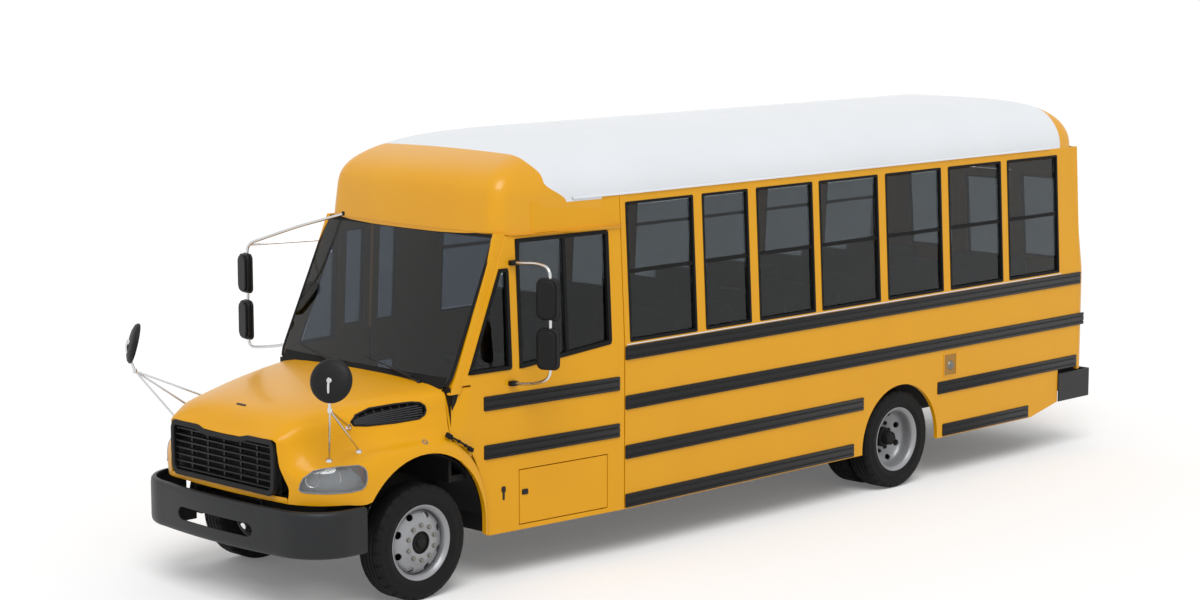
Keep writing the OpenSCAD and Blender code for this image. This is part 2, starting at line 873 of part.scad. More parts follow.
// a leaf of the entrance door between two places along the side, with its two windows
module entrance_leaf(s0, s1) {
    mirror([0, 1, 0]) front_side() difference() {
        along_x(s0, s1) wall_band(430, belt_z, 0, wall_t);
        block([s0 + 70, 1000, 620], [s1 - 70, 1300, 1500]);
    }
    mirror([0, 1, 0]) front_side() difference() {
        along_x(s0, s1) wall_band(belt_z, 2790, 0, wall_t);
        block([s0 + 70, 1000, 1850], [s1 - 70, 1300, 2700]);
    }
    mirror([0, 1, 0]) front_side() {
        along_x(s0 + 70, s1 - 70) wall_band(620, 1500, 17, 23);
        along_x(s0 + 70, s1 - 70) wall_band(1850, 2700, 17, 23);
    }
}

module entrance_door_front() {
    color("orange") entrance_leaf(840, 1212);
}

module entrance_door_rear() {
    color("orange") entrance_leaf(438, 810);
}

module rear_door() {
    color("orange") {
        difference() {
            intersection() {
                along_y(-342, 342) rear_section();
                block([-5200, -342, 963], [-4800, 342, 2782]);
            }
            block([-5200, -260, 1860], [-4800, 260, 2700]);
            block([-5200, -260, 1100], [-4800, 260, 1650]);
        }
        intersection() {
            along_y(-260, 260) polygon([[tail_x + 17, 1000], [tail_x + 17, belt_z],
                                        [tail_top_x + 17, eave_z],
                                        [tail_top_x + 23, eave_z], [tail_x + 23, belt_z], [tail_x + 23, 1000]]);
            union() {
                block([-5200, -260, 1860], [-4800, 260, 2700]);
                block([-5200, -260, 1100], [-4800, 260, 1650]);
            }
        }
    }
}

module battery_hatch() {
    color("orange") front_side() block([203, wall_y - 30, 448], [1157, wall_y, 897]);
}

frame_rails();
crossmembers();
front_bumper();
rear_bumper();
front_axle();
rear_axle();
leaf_springs();
driveshaft();
engine_block();
radiator();
fuel_tank();
exhaust();
battery_box();
floor();
wheel_housings();
entry_steps();
left_wall();
right_wall();
driver_side();
entrance_side();
rear_wall();
roof();
front_cap();
cowl();
windshield();
window_glass();
window_sashes();
rub_rails();
dashboard();
driver_seat();
seat_frames();
passenger_seats();
wipers();
side_mirrors();
tail_lamps();
hood();
grille();
headlamps();
crossview_mirrors();
entrance_door_front();
entrance_door_rear();
rear_door();
battery_hatch();
knuckle(1);  // knuckle_left
knuckle(-1);  // knuckle_right
tie_rod();
steering_wheel();
front_tyre(1);  // tyre_front_left
front_tyre(-1);  // tyre_front_right
rear_tyres(1);  // tyres_rear_left
rear_tyres(-1);  // tyres_rear_right
front_rim(1);  // rim_front_left
front_rim(-1);  // rim_front_right
rear_rims(1);  // rims_rear_left
rear_rims(-1);  // rims_rear_right
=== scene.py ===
import math

import bmesh
import bpy
from mathutils import Matrix, Vector
from mathutils.bvhtree import BVHTree


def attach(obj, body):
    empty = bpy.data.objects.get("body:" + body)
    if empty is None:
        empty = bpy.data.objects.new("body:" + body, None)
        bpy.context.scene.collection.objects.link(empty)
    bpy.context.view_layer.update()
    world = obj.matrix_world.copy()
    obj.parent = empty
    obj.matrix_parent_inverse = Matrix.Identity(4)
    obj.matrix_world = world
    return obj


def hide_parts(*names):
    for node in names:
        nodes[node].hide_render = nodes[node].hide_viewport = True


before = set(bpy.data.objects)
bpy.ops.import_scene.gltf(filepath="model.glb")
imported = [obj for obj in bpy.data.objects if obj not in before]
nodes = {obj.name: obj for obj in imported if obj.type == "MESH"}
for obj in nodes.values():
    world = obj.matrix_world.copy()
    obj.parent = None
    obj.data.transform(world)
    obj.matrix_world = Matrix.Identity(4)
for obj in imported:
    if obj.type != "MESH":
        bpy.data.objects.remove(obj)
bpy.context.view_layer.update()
scene = bpy.context.scene
scene.view_settings.view_transform = "Standard"
print("frame loaded:", len(nodes), "nodes")

mm = 0.001

# body lines shared by many pieces, in metres
body = dict(wallY=1.219, beltZ=1.82, eaveY=1.150, eaveZ=3.08, taperX=1.715, taper=4.16, tailX=-5.07,
    tailTopX=-4.95, wallT=0.040)
lean = (body["wallY"] - body["eaveY"]) / (body["eaveZ"] - body["beltZ"])

# the narrowing front part has its own frame: x runs forwards along the side
frontSide = (Matrix.Translation((body["taperX"], body["wallY"],
    0)) @ Matrix.Rotation(math.radians(-body["taper"]), 4, "Z") @ Matrix.Translation((0, -body["wallY"], 0)))
toRight = Matrix.Scale(-1, 4, (0, 1, 0))

# lays a drawing made in x (along), y (outwards) and z on the leaning wall above the belt
onWall = Matrix(((1, 0, 0, 0), (0, 1, -lean, body["wallY"] + lean * body["beltZ"]), (0, 0, 1, 0), (0, 0, 0, 1)))
onSide = Matrix.Translation((0, body["wallY"], 0))


def hexColour(text):
    def toLinear(c):
        return c / 12.92 if c <= 0.04045 else ((c + 0.055) / 1.055) ** 2.4
    return tuple(toLinear(int(text[i:i + 2], 16) / 255) for i in (1, 3, 5)) + (1.0,)


def addNode(tree, kind, links=None, **settings):
    node = tree.nodes.new(kind)
    for name, value in settings.items():
        setattr(node, name, value)
    for socket, source in (links or {}).items():
        if isinstance(source, bpy.types.NodeSocket):
            tree.links.new(source, node.inputs[socket])
        else:
            node.inputs[socket].default_value = source
    return node


def newMaterial(name):
    material = bpy.data.materials.new(name)
    material.use_nodes = True
    material.node_tree.nodes.clear()
    return material, material.node_tree


def piece(name, bm, material, rider, replaces=(), smooth=35, bevel=0, wall=0):
    mesh = bpy.data.meshes.new(name)
    bm.to_mesh(mesh)
    bm.free()
    mesh.materials.clear()
    for m in material if isinstance(material, (list, tuple)) else [material]:
        mesh.materials.append(m)
    obj = bpy.data.objects.new(name, mesh)
    scene.collection.objects.link(obj)
    if wall:
        shell = obj.modifiers.new("wall", "SOLIDIFY")
        shell.thickness = wall
        shell.offset = -1
        shell.use_even_offset = False
    if bevel:
        edge = obj.modifiers.new("edge", "BEVEL")
        edge.width = bevel
        edge.segments = 2
        edge.limit_method = "ANGLE"
        edge.angle_limit = math.radians(32)
        edge.harden_normals = False
    if smooth:
        mesh.shade_smooth()
        if smooth < 180:
            mesh.set_sharp_from_angle(angle=math.radians(smooth))
        if wall:
            # open edges stay crisp once they have a wall
            uses = {}
            for face in mesh.polygons:
                for key in face.edge_keys:
                    uses[key] = uses.get(key, 0) + 1
            for edge in mesh.edges:
                if uses.get(edge.key, 0) == 1:
                    edge.use_edge_sharp = True
    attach(obj, rider)
    if replaces:
        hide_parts(*replaces)
    return obj


def copyNode(node):
    bm = bmesh.new()
    bm.from_mesh(nodes[node].data)
    bmesh.ops.remove_doubles(bm, verts=bm.verts, dist=0.01 * mm)
    bmesh.ops.dissolve_limit(bm, angle_limit=math.radians(1), verts=bm.verts, edges=bm.edges)
    return bm


def addBox(bm, lo, hi, matrix=None, bevel=0, segments=2):
    made = bmesh.ops.create_cube(bm, size=1)["verts"]
    lo, hi = Vector(lo), Vector(hi)
    for v in made:
        v.co = Vector(((lo[i] + hi[i]) / 2 + v.co[i] * (hi[i] - lo[i]) for i in range(3)))
    if bevel:
        edges = list(dict.fromkeys(e for v in made for e in v.link_edges))
        made = bmesh.ops.bevel(bm, geom=edges, offset=bevel, segments=segments, profile=0.5, affect="EDGES",
            material=-1, clamp_overlap=True)["verts"]
    if matrix:
        bmesh.ops.transform(bm, matrix=matrix, verts=made)
    return made


# a plate with rounded corners from an outline in x and z, between two depths in y
def addPlate(bm, points, depth0, depth1, corner=0, frameWidth=0, matrix=None, steps=4):
    part = bmesh.new()
    verts = [part.verts.new((x, depth0, z)) for x, z in points]
    part.faces.new(verts)
    if corner:
        bmesh.ops.bevel(part, geom=list(part.verts), offset=corner, segments=steps, profile=0.5,
            affect="VERTICES", material=-1)
    if frameWidth:
        bmesh.ops.inset_region(part, faces=list(part.faces), thickness=frameWidth, use_boundary=True,
            use_even_offset=True)
        inner = [f for f in part.faces if all(not e.is_boundary for e in f.edges)]
        bmesh.ops.delete(part, geom=inner, context="FACES")
    made = bmesh.ops.extrude_face_region(part, geom=list(part.faces))["geom"]
    bmesh.ops.translate(part, vec=(0, depth1 - depth0, 0), verts=[g for g in made
        if isinstance(g, bmesh.types.BMVert)])
    bmesh.ops.recalc_face_normals(part, faces=part.faces)
    if matrix:
        bmesh.ops.transform(part, matrix=matrix, verts=part.verts)
        if matrix.determinant() < 0:
            bmesh.ops.reverse_faces(part, faces=part.faces)
    merge(bm, part)


def merge(bm, part):
    mesh = bpy.data.meshes.new("part")
    part.to_mesh(mesh)
    part.free()
    bm.from_mesh(mesh)
    bpy.data.meshes.remove(mesh)


# rows of points joined into one sheet, row by row
def addSkin(bm, rows, closed=False):
    lines = []
    for row in rows:
        verts = [bm.verts.new(p) for p in row]
        pairs = list(zip(verts, verts[1:])) + ([(verts[-1], verts[0])] if closed else [])
        lines.append([bm.edges.new(p) for p in pairs])
    for a, b in zip(lines, lines[1:]):
        bmesh.ops.bridge_loops(bm, edges=a + b)
    return lines


# a profile of (radius, height) points turned about a line; the matrix puts the z axis in place
def addTurned(bm, profile, matrix, steps=48, closed=False):
    part = bmesh.new()
    verts = [part.verts.new((r, 0, h)) for r, h in profile]
    edges = [part.edges.new(p) for p in zip(verts, verts[1:])]
    if closed:
        edges.append(part.edges.new((verts[-1], verts[0])))
    bmesh.ops.spin(part, geom=verts + edges, cent=(0, 0, 0), axis=(0, 0, 1), angle=math.tau, steps=steps,
        use_merge=True)
    bmesh.ops.remove_doubles(part, verts=part.verts, dist=0.01 * mm)
    bmesh.ops.recalc_face_normals(part, faces=part.faces)
    bmesh.ops.transform(part, matrix=matrix, verts=part.verts)
    if matrix.determinant() < 0:
        bmesh.ops.reverse_faces(part, faces=part.faces)
    merge(bm, part)


# a round tube through points, with smooth bends
def addTube(bm, points, radius, bend=0, steps=10):
    path = [Vector(p) for p in points]
    if bend:
        line = [path[0]]
        for a, b, c in zip(path, path[1:], path[2:]):
            d0, d1 = (a - b).normalized(), (c - b).normalized()
            cut = min(bend, (a - b).length * 0.45, (c - b).length * 0.45)
            p0, p2 = b + d0 * cut, b + d1 * cut
            line += [p0.lerp(b, t).lerp(b.lerp(p2, t), t) for t in (0, 0.25, 0.5, 0.75, 1)]
        path = line + [path[-1]]
    rings = []
    for k, p in enumerate(path):
        before = path[max(k - 1, 0)]
        after = path[min(k + 1, len(path) - 1)]
        along = (after - before).normalized()
        side = along.orthogonal().normalized() if k == 0 else (side - along * side.dot(along)).normalized()
        rise = along.cross(side)
        rings.append([p + side * math.cos(a) * radius + rise * math.sin(a) * radius
            for a in (math.tau * i / steps for i in range(steps))])
    part = bmesh.new()
    lines = addSkin(part, rings, closed=True)
    for ring in (lines[0], lines[-1]):
        bmesh.ops.contextual_create(part, geom=ring)
    bmesh.ops.recalc_face_normals(part, faces=part.faces)
    merge(bm, part)


def mirrorCopy(bm):
    geom = bm.verts[:] + bm.edges[:] + bm.faces[:]
    bmesh.ops.mirror(bm, geom=geom, axis="Y", merge_dist=0.1 * mm)
    bmesh.ops.recalc_face_normals(bm, faces=bm.faces)


# camera: a long lens, a little above the hood, looking at the left front corner
camera = dict(place=(17.457, 16.47, 5.37), heading=-135.35, down=8.24, lens=79.08, sensor=36.0)


def makeCamera(user):
    data = bpy.data.cameras.new("camera")
    data.lens = user["lens"]
    data.sensor_width = user["sensor"]
    data.clip_end = 900
    obj = bpy.data.objects.new("camera", data)
    obj.location = user["place"]
    obj.rotation_euler = (math.radians(90 - user["down"]), 0, math.radians(user["heading"] - 90))
    scene.collection.objects.link(obj)
    scene.camera = obj


# a soft sky of even light, one wide soft key from the front left, and a pale floor
studio = dict(sky=0.60, key=1.65, keySoft=35, keyFrom=(0.45, 0.52, 0.95), floor="#F4F4F4", paperGlow=0.12,
    floorSize=400)


def makeStudio(user):
    world = bpy.data.worlds.new("studio")
    scene.world = world
    world.use_nodes = True
    tree = world.node_tree
    tree.nodes.clear()
    path = addNode(tree, "ShaderNodeLightPath")
    seen = addNode(tree, "ShaderNodeMath", {0: path.outputs["Is Camera Ray"], 1: path.outputs["Is Glossy Ray"]},
        operation="MAXIMUM")
    seen = addNode(tree, "ShaderNodeMath", {0: seen.outputs[0], 1: path.outputs["Is Transmission Ray"]},
        operation="MAXIMUM")
    lit = addNode(tree, "ShaderNodeBackground", {"Color": (1, 1, 1, 1), "Strength": user["sky"]})
    white = addNode(tree, "ShaderNodeBackground", {"Color": (1, 1, 1, 1), "Strength": 1.0})
    both = addNode(tree, "ShaderNodeMixShader", {0: seen.outputs[0], 1: lit.outputs[0], 2: white.outputs[0]})
    addNode(tree, "ShaderNodeOutputWorld", {"Surface": both.outputs[0]})
    data = bpy.data.lights.new("key", "SUN")
    data.energy = user["key"]
    data.angle = math.radians(user["keySoft"])
    key = bpy.data.objects.new("key", data)
    key.rotation_mode = "QUATERNION"
    key.rotation_quaternion = Vector(user["keyFrom"]).to_track_quat("Z", "Y")
    scene.collection.objects.link(key)
    # matt seamless paper: nearly white, keeps the bus's soft shadow
    paper, tree = newMaterial("seamlessPaper")
    place = addNode(tree, "ShaderNodeTexCoord")
    grain = addNode(tree, "ShaderNodeTexNoise", {"Vector": place.outputs["Object"], "Scale": 40.0})
    bump = addNode(tree, "ShaderNodeBump", {"Height": grain.outputs[0], "Strength": 0.02})
    matt = addNode(tree, "ShaderNodeBsdfDiffuse", {"Color": hexColour(user["floor"]),
        "Normal": bump.outputs[0]})
    # seen straight on, in a mirror or through glass, the paper also gives off a little of its own white
    rays = addNode(tree, "ShaderNodeLightPath")
    seen = addNode(tree, "ShaderNodeMath", {0: rays.outputs["Is Camera Ray"], 1: rays.outputs["Is Glossy Ray"]},
        operation="MAXIMUM")
    seen = addNode(tree, "ShaderNodeMath", {0: seen.outputs[0], 1: rays.outputs["Is Transmission Ray"]},
        operation="MAXIMUM")
    glow = addNode(tree, "ShaderNodeMath", {0: seen.outputs[0], 1: user["paperGlow"]}, operation="MULTIPLY")
    white = addNode(tree, "ShaderNodeEmission", {"Color": hexColour("#FFFFFF"), "Strength": glow.outputs[0]})
    both = addNode(tree, "ShaderNodeAddShader", {0: matt.outputs[0], 1: white.outputs[0]})
    addNode(tree, "ShaderNodeOutputMaterial", {"Surface": both.outputs[0]})
    bm = bmesh.new()
    bmesh.ops.create_grid(bm, x_segments=8, y_segments=8, size=user["floorSize"])
    mesh = bpy.data.meshes.new("floor")
    bm.to_mesh(mesh)
    bm.free()
    mesh.materials.append(paper)
    floor = bpy.data.objects.new("studioFloor", mesh)
    scene.collection.objects.link(floor)


makeCamera(camera)
makeStudio(studio)
print("camera and studio ready")


# cuts a convex outline through the skin and hands back what was inside it
def cutOpening(bm, origin, along, up, outline, reach=0.09):
    origin, along, up = Vector(origin), Vector(along).normalized(), Vector(up).normalized()
    outward = up.cross(along).normalized()
    ring = [origin + along * a + up * b for a, b in outline]
    middle = sum(ring, Vector()) / len(ring)
    across = []
    size = max((p - middle).length for p in ring)

    def flat(p):
        q = p - middle
        return q - outward * q.dot(outward)

    for p, q in zip(ring, ring[1:] + ring[:1]):
        normal = (q - p).cross(outward).normalized()
        if normal.dot(middle - p) < 0:
            normal.negate()
        across.append((p, normal))
        centre, half = (p + q) / 2 - middle, (q - p).length / 2
        near = [f for f in bm.faces if abs(f.normal.dot(outward)) > 0.15
            and (flat(f.calc_center_median()) - flat(centre + middle)).length < half + reach]
        geom = list({g for f in near for g in list(f.verts) + list(f.edges)}) + near
        bmesh.ops.bisect_plane(bm, geom=geom, plane_co=p, plane_no=normal, dist=0.1 * mm)
    mark = bm.faces.layers.int.new("opening")
    inside = [f for f in bm.faces if abs(f.normal.dot(outward)) > 0.15
        and flat(f.calc_center_median()).length < size and all((f.calc_center_median() - p).dot(n) > 0 for p,
        n in across)]
    for f in inside:
        f[mark] = 1
    patch = bm.copy()
    layer = patch.faces.layers.int["opening"]
    bmesh.ops.delete(patch, geom=[f for f in patch.faces if not f[layer]], context="FACES")
    bmesh.ops.delete(bm, geom=inside, context="FACES")
    bm.faces.layers.int.remove(mark)
    for part in (bm, patch):
        bmesh.ops.remove_doubles(part, verts=part.verts, dist=0.8 * mm)
        bmesh.ops.dissolve_degenerate(part, edges=part.edges, dist=0.2 * mm)
    return patch


# the patch moved back, with walls up to where it was cut out
def trayFrom(patch, shift, keepLid=False):
    bm = patch.copy()
    lid = bm.faces[:]
    made = bmesh.ops.extrude_face_region(bm, geom=lid)["geom"]
    bmesh.ops.translate(bm, vec=shift, verts=[g for g in made if isinstance(g, bmesh.types.BMVert)])
    if keepLid:
        bmesh.ops.recalc_face_normals(bm, faces=bm.faces)
    else:
        bmesh.ops.delete(bm, geom=[f for f in lid if f.is_valid], context="FACES")
    return bm


# the open edge of a patch as a run of points, always started at its highest corner
def rimOf(patch):
    edges = {e for e in patch.edges if e.is_boundary}
    at = max((v for e in edges for v in e.verts), key=lambda v: (v.co.z, v.co.x))
    run = [at.co.copy()]
    while edges:
        steps = [e for e in at.link_edges if e in edges]
        if not steps:
            break
        step = max(steps, key=lambda e: e.other_vert(at).co.x)
        edges.discard(step)
        at = step.other_vert(at)
        run.append(at.co.copy())
    return run


def onBothSides(bm):
    geom = bm.verts[:] + bm.edges[:] + bm.faces[:]
    made = bmesh.ops.duplicate(bm, geom=geom)["geom"]
    verts = [g for g in made if isinstance(g, bmesh.types.BMVert)]
    faces = [g for g in made if isinstance(g, bmesh.types.BMFace)]
    bmesh.ops.scale(bm, vec=(1, -1, 1), verts=verts)
    bmesh.ops.reverse_faces(bm, faces=faces)


# sprayed enamel over steel: one clear gloss skin, faint orange peel about 4 mm wide, a little road haze
def sprayedEnamel(name, user):
    material, tree = newMaterial(name)
    place = addNode(tree, "ShaderNodeTexCoord")
    peel = addNode(tree, "ShaderNodeTexNoise", {"Vector": place.outputs["Object"],
        "Scale": 1 / (user["peel"] * mm), "Detail": 2.0})
    haze = addNode(tree, "ShaderNodeTexNoise", {"Vector": place.outputs["Object"], "Scale": 1.6, "Detail": 4.0})
    tone = addNode(tree, "ShaderNodeMix", {0: haze.outputs[0], 6: hexColour(user["deep"]),
        7: hexColour(user["light"])}, data_type="RGBA")
    rough = addNode(tree, "ShaderNodeMapRange", {"Value": haze.outputs[0], "To Min": user["rough"][0],
        "To Max": user["rough"][1]})
    bump = addNode(tree, "ShaderNodeBump", {"Height": peel.outputs[0], "Strength": user["peelDepth"],
        "Distance": 0.2 * mm})
    skin = addNode(tree, "ShaderNodeBsdfPrincipled", {"Base Color": tone.outputs[2],
        "Roughness": rough.outputs[0], "Normal": bump.outputs[0], "Coat Weight": user["coat"],
        "Coat Roughness": 0.06, "IOR": 1.5, "Specular IOR Level": 0.25})
    addNode(tree, "ShaderNodeOutputMaterial", {"Surface": skin.outputs[0]})
    return material


# a rough dark or metal skin with mottling: cast, moulded, galvanised or rubber, by its values
def mottled(name, user):
    material, tree = newMaterial(name)
    place = addNode(tree, "ShaderNodeTexCoord")
    grain = addNode(tree, "ShaderNodeTexNoise", {"Vector": place.outputs["Object"],
        "Scale": 1 / (user["grain"] * mm), "Detail": 5.0})
    patch = addNode(tree, "ShaderNodeTexNoise", {"Vector": place.outputs["Object"],
        "Scale": user.get("patch", 5.0), "Detail": 3.0})
    tone = addNode(tree, "ShaderNodeMix", {0: patch.outputs[0], 6: hexColour(user["deep"]),
        7: hexColour(user["light"])}, data_type="RGBA")
    rough = addNode(tree, "ShaderNodeMapRange", {"Value": grain.outputs[0], "From Min": 0.3, "From Max": 0.7,
        "To Min": user["rough"][0], "To Max": user["rough"][1]})
    bump = addNode(tree, "ShaderNodeBump", {"Height": grain.outputs[0], "Strength": user["depth"],
        "Distance": user["grain"] * mm})
    skin = addNode(tree, "ShaderNodeBsdfPrincipled", {"Base Color": tone.outputs[2],
        "Roughness": rough.outputs[0], "Normal": bump.outputs[0], "Metallic": user.get("metal", 0.0),
        "Specular IOR Level": user.get("gloss", 0.5)})
    if "sheen" in user:
        skin.inputs["Sheen Weight"].default_value = user["sheen"]
    addNode(tree, "ShaderNodeOutputMaterial", {"Surface": skin.outputs[0]})
    return material


# clear or tinted sheet: light goes straight through, with a clean sharp reflection
def glazing(name, user):
    material, tree = newMaterial(name)
    place = addNode(tree, "ShaderNodeTexCoord")
    wave = addNode(tree, "ShaderNodeTexNoise", {"Vector": place.outputs["Object"], "Scale": user["wave"],
        "Detail": 1.0})
    bump = addNode(tree, "ShaderNodeBump", {"Height": wave.outputs[0], "Strength": 0.03, "Distance": 1 * mm})
    film = addNode(tree, "ShaderNodeMapRange", {"Value": wave.outputs[0], "To Min": user["rough"] * 0.5,
        "To Max": user["rough"]})
    pane = addNode(tree, "ShaderNodeBsdfPrincipled", {"Base Color": hexColour(user["tint"]),
        "IOR": user.get("ior", 1.5), "Transmission Weight": 1.0, "Roughness": film.outputs[0],
        "Normal": bump.outputs[0]})
    addNode(tree, "ShaderNodeOutputMaterial", {"Surface": pane.outputs[0]})
    return material


# bus yellow, a warm orange yellow two-pack enamel
busYellow = sprayedEnamel("busYellowEnamel", dict(deep="#DA9903", light="#E2A205", peel=9, peelDepth=0.05,
    rough=(0.30, 0.38), coat=0.1))
busWhite = sprayedEnamel("roofWhiteEnamel", dict(deep="#D9DDE1", light="#E2E5E9", peel=9, peelDepth=0.05,
    rough=(0.3, 0.4), coat=0.4))
# satin black powder coat: dull black with a soft broad glint
satinBlack = mottled("satinBlackCoat", dict(deep="#0C0C0D", light="#131314", gloss=0.3, grain=3, depth=0.05,
    rough=(0.35, 0.5)))
# moulded black plastic: fine texture, no gloss
mouldedBlack = mottled("mouldedBlackPlastic", dict(deep="#0B0B0C", light="#101011", gloss=0.25, grain=2,
    depth=0.12, rough=(0.45, 0.6)))
# black rubber seals: matt, slightly grey where it weathers
sealRubber = mottled("sealRubber", dict(deep="#080808", light="#0D0D0D", gloss=0.2, grain=2.5, depth=0.1,
    rough=(0.6, 0.75)))
# painted steel bumper: dark charcoal, satin
bumperPaint = mottled("charcoalBumperPaint", dict(deep="#151618", light="#1D1E20", gloss=0.35, grain=6,
    depth=0.05, rough=(0.38, 0.5)))
# chassis black: matt paint with a film of dust
chassisBlack = mottled("chassisBlackPaint", dict(deep="#0E0E0E", light="#1A1918", gloss=0.25, grain=12,
    depth=0.15, rough=(0.6, 0.8), patch=3.0))
bareSteel = mottled("bareSteel", dict(deep="#77756F", light="#8E8B84", grain=8, depth=0.1, rough=(0.35, 0.55),
    metal=0.9))
castIron = mottled("castIronPaint", dict(deep="#3A3D40", light="#4A4D50", grain=10, depth=0.2,
    rough=(0.6, 0.75)))
floorRubber = mottled("ribbedFloorRubber", dict(deep="#1A1A1B", light="#262627", grain=8, depth=0.3,
    rough=(0.6, 0.8)))
seatVinyl = mottled("greyGreenSeatVinyl", dict(deep="#22282B", light="#2B3236", grain=4, depth=0.25,
    rough=(0.4, 0.55), patch=9.0))
seatSteel = mottled("seatFramePaint", dict(deep="#3B3E40", light="#484B4D", grain=5, depth=0.05,
    rough=(0.4, 0.5)))
# silver wheel paint over steel: fine metallic grain
wheelSilver = mottled("silverWheelPaint", dict(deep="#8B8C8F", light="#9C9DA0", grain=2, depth=0.03,
    rough=(0.3, 0.42), metal=0.35))
# polished stainless tube: bright, with a faint drawn grain
polishedTube = mottled("polishedStainless", dict(deep="#C8C9CB", light="#D9DADB", grain=3, depth=0.02,
    rough=(0.1, 0.2), metal=1.0))
tyreRubber = mottled("tyreRubber", dict(deep="#0B0B0B", light="#121212", gloss=0.2, grain=5, depth=0.25,
    rough=(0.6, 0.8)))
mirrorGlass = mottled("silveredMirror", dict(deep="#C9CDD0", light="#D5D9DB", grain=40, depth=0.01,
    rough=(0.02, 0.04), metal=1.0))
tintedGlass = glazing("tintedSafetyGlass", dict(tint="#80868A", ior=1.33, rough=0.02, wave=2.0))
shieldGlass = glazing("windshieldGlass", dict(tint="#6A7480", ior=1.36, rough=0.02, wave=1.5))
# dark moulding of the side vents; its grey, lighter than the black opening behind, is painted highlight on the
# louvres
ventLouvrePaintedHighlight = mottled("charcoalVentPlasticPaintedHighlight", dict(deep="#26272A", light="#303134", grain=3, depth=0.08,
    rough=(0.4, 0.5)))
lampClear = glazing("clearPolycarbonate", dict(tint="#F4F6F7", rough=0.03, wave=6.0, ior=1.58))
lampRed = glazing("redLampAcrylic", dict(tint="#D01018", rough=0.08, wave=30.0, ior=1.49))
lampAmber = glazing("amberLampAcrylic", dict(tint="#F08008", rough=0.08, wave=30.0, ior=1.49))
print("finishes made")


# a CAD piece kept in its own shape, with its edges eased as pressed and painted steel is
def easedNode(node, name, material, rider, edge=3 * mm, smooth=30):
    bm = copyNode(node)
    return piece(name, bm, material, rider, replaces=(node,), bevel=edge, smooth=smooth)


# rear corners of the body: the side and the rear wall meet on a round post
corner = dict(radius=0.13, foot=0.80, steps=8)


def cutAt(bm, x=None, y=None, keep=1):
    place, normal = (Vector((x, 0, 0)), Vector((keep, 0, 0))) if x is not None else (Vector((0, y, 0)),
        Vector((0, keep, 0)))
    made = bmesh.ops.bisect_plane(bm, geom=bm.verts[:] + bm.edges[:] + bm.faces[:], plane_co=place,
        plane_no=normal, clear_inner=True)
    cut = [g for g in made["geom_cut"] if isinstance(g, bmesh.types.BMEdge)]
    bmesh.ops.holes_fill(bm, edges=cut, sides=0)


def makeWalls(user):
    for side, node in ((1, "left_wall"), (-1, "right_wall")):
        bm = copyNode(node)
        cutAt(bm, x=body["tailX"] + user["radius"])
        piece(node + "Panel", bm, busYellow, "root", replaces=(node,), bevel=3 * mm, smooth=30)
    bm = copyNode("rear_wall")
    cutAt(bm, y=-(body["wallY"] - user["radius"] - 0.02), keep=1)
    cutAt(bm, y=body["wallY"] - user["radius"] - 0.02, keep=-1)
    piece("rearWallPanel", bm, busYellow, "root", replaces=("rear_wall",), bevel=3 * mm,
        smooth=30)
    bm = bmesh.new()
    heights = [user["foot"], body["beltZ"] - 0.03, body["beltZ"] + 0.03, body["eaveZ"]]
    for side in (1, -1):
        rows = []
        for z in heights:
            up = max(z - body["beltZ"], 0)
            x = body["tailX"] + up * 0.12 / 1.26
            y = body["wallY"] - up * lean
            ring = []
            for r in (user["radius"], user["radius"] - body["wallT"]):
                cx, cy = x + user["radius"], y - user["radius"]
                arc = [(cx - r * math.sin(a), side * (cy + r * math.cos(a)), z)
                    for a in (math.radians(90) * k / user["steps"] for k in range(user["steps"] + 1))]
                if r == user["radius"]:
                    arc = [(cx + 0.002, side * y, z)] + arc + [(x, side * (cy - 0.022), z)]
                else:
                    arc = [(cx + 0.002, side * (y - body["wallT"]), z)] + arc + [(x + body["wallT"],
                        side * (cy - 0.022), z)]
                    arc.reverse()
                ring += arc
            rows.append(ring)
        lines = addSkin(bm, rows, closed=True)
        for ring in (lines[0], lines[-1]):
            bmesh.ops.contextual_create(bm, geom=ring)
    bmesh.ops.recalc_face_normals(bm, faces=bm.faces)
    piece("rearCornerPosts", bm, busYellow, "root", smooth=30)
    # black bulkheads behind the front wheels
    inner = copyNode("cowl")
    bmesh.ops.delete(inner, geom=[f for f in inner.faces if abs(f.calc_center_median().y) > 1.064
        or f.calc_center_median().z > 1.60], context="FACES")
    piece("cowlBulkheads", inner, chassisBlack, "root", smooth=30)
    for node in ("driver_side", "entrance_side"):
        easedNode(node, {"driver_side": "driverSidePanel", "entrance_side": "entranceSidePanel"}[node],
            busYellow, "root")


# roof: height, front x, rear x, half width of each line round it; the paint line between white and yellow
# a smooth run of points through the given ones
def throughPoints(points, each):
    path = [Vector(p) for p in points]
    last = len(path) - 1
    made = []
    for i in range(last):
        a, b, c, d = path[max(i - 1, 0)], path[i], path[i + 1], path[min(i + 2, last)]
        for k in range(each):
            f = k / each
            square, cube = 2 * a - 5 * b + 4 * c - d, 3 * b - a - 3 * c + d
            made.append(0.5 * (2 * b + (c - a) * f + square * f * f + cube * f ** 3))
    return made + [path[-1]]


roof = dict(lines=((2.828, 3.100, -4.974, 1.164), (2.836, 3.112, -4.973, 1.163), (2.950, 3.100, -4.962, 1.157),
    (3.080, 3.082, -4.950, 1.150), (3.150, 3.070, -4.945, 1.146), (3.230, 3.045, -4.930, 1.125),
    (3.310, 2.980, -4.900, 1.080), (3.380, 2.860, -4.850, 1.018), (3.440, 2.700, -4.780, 0.935),
    (3.490, 2.520, -4.690, 0.825), (3.530, 2.300, -4.560, 0.680), (3.565, 2.020, -4.330, 0.480),
    (3.588, 1.700, -4.000, 0.250), (3.600, 1.300, -3.500, 0.0)), corner=0.16, bow=0.05, joint=1.724,
    drip=dict(out=0.014, drop=0.018))


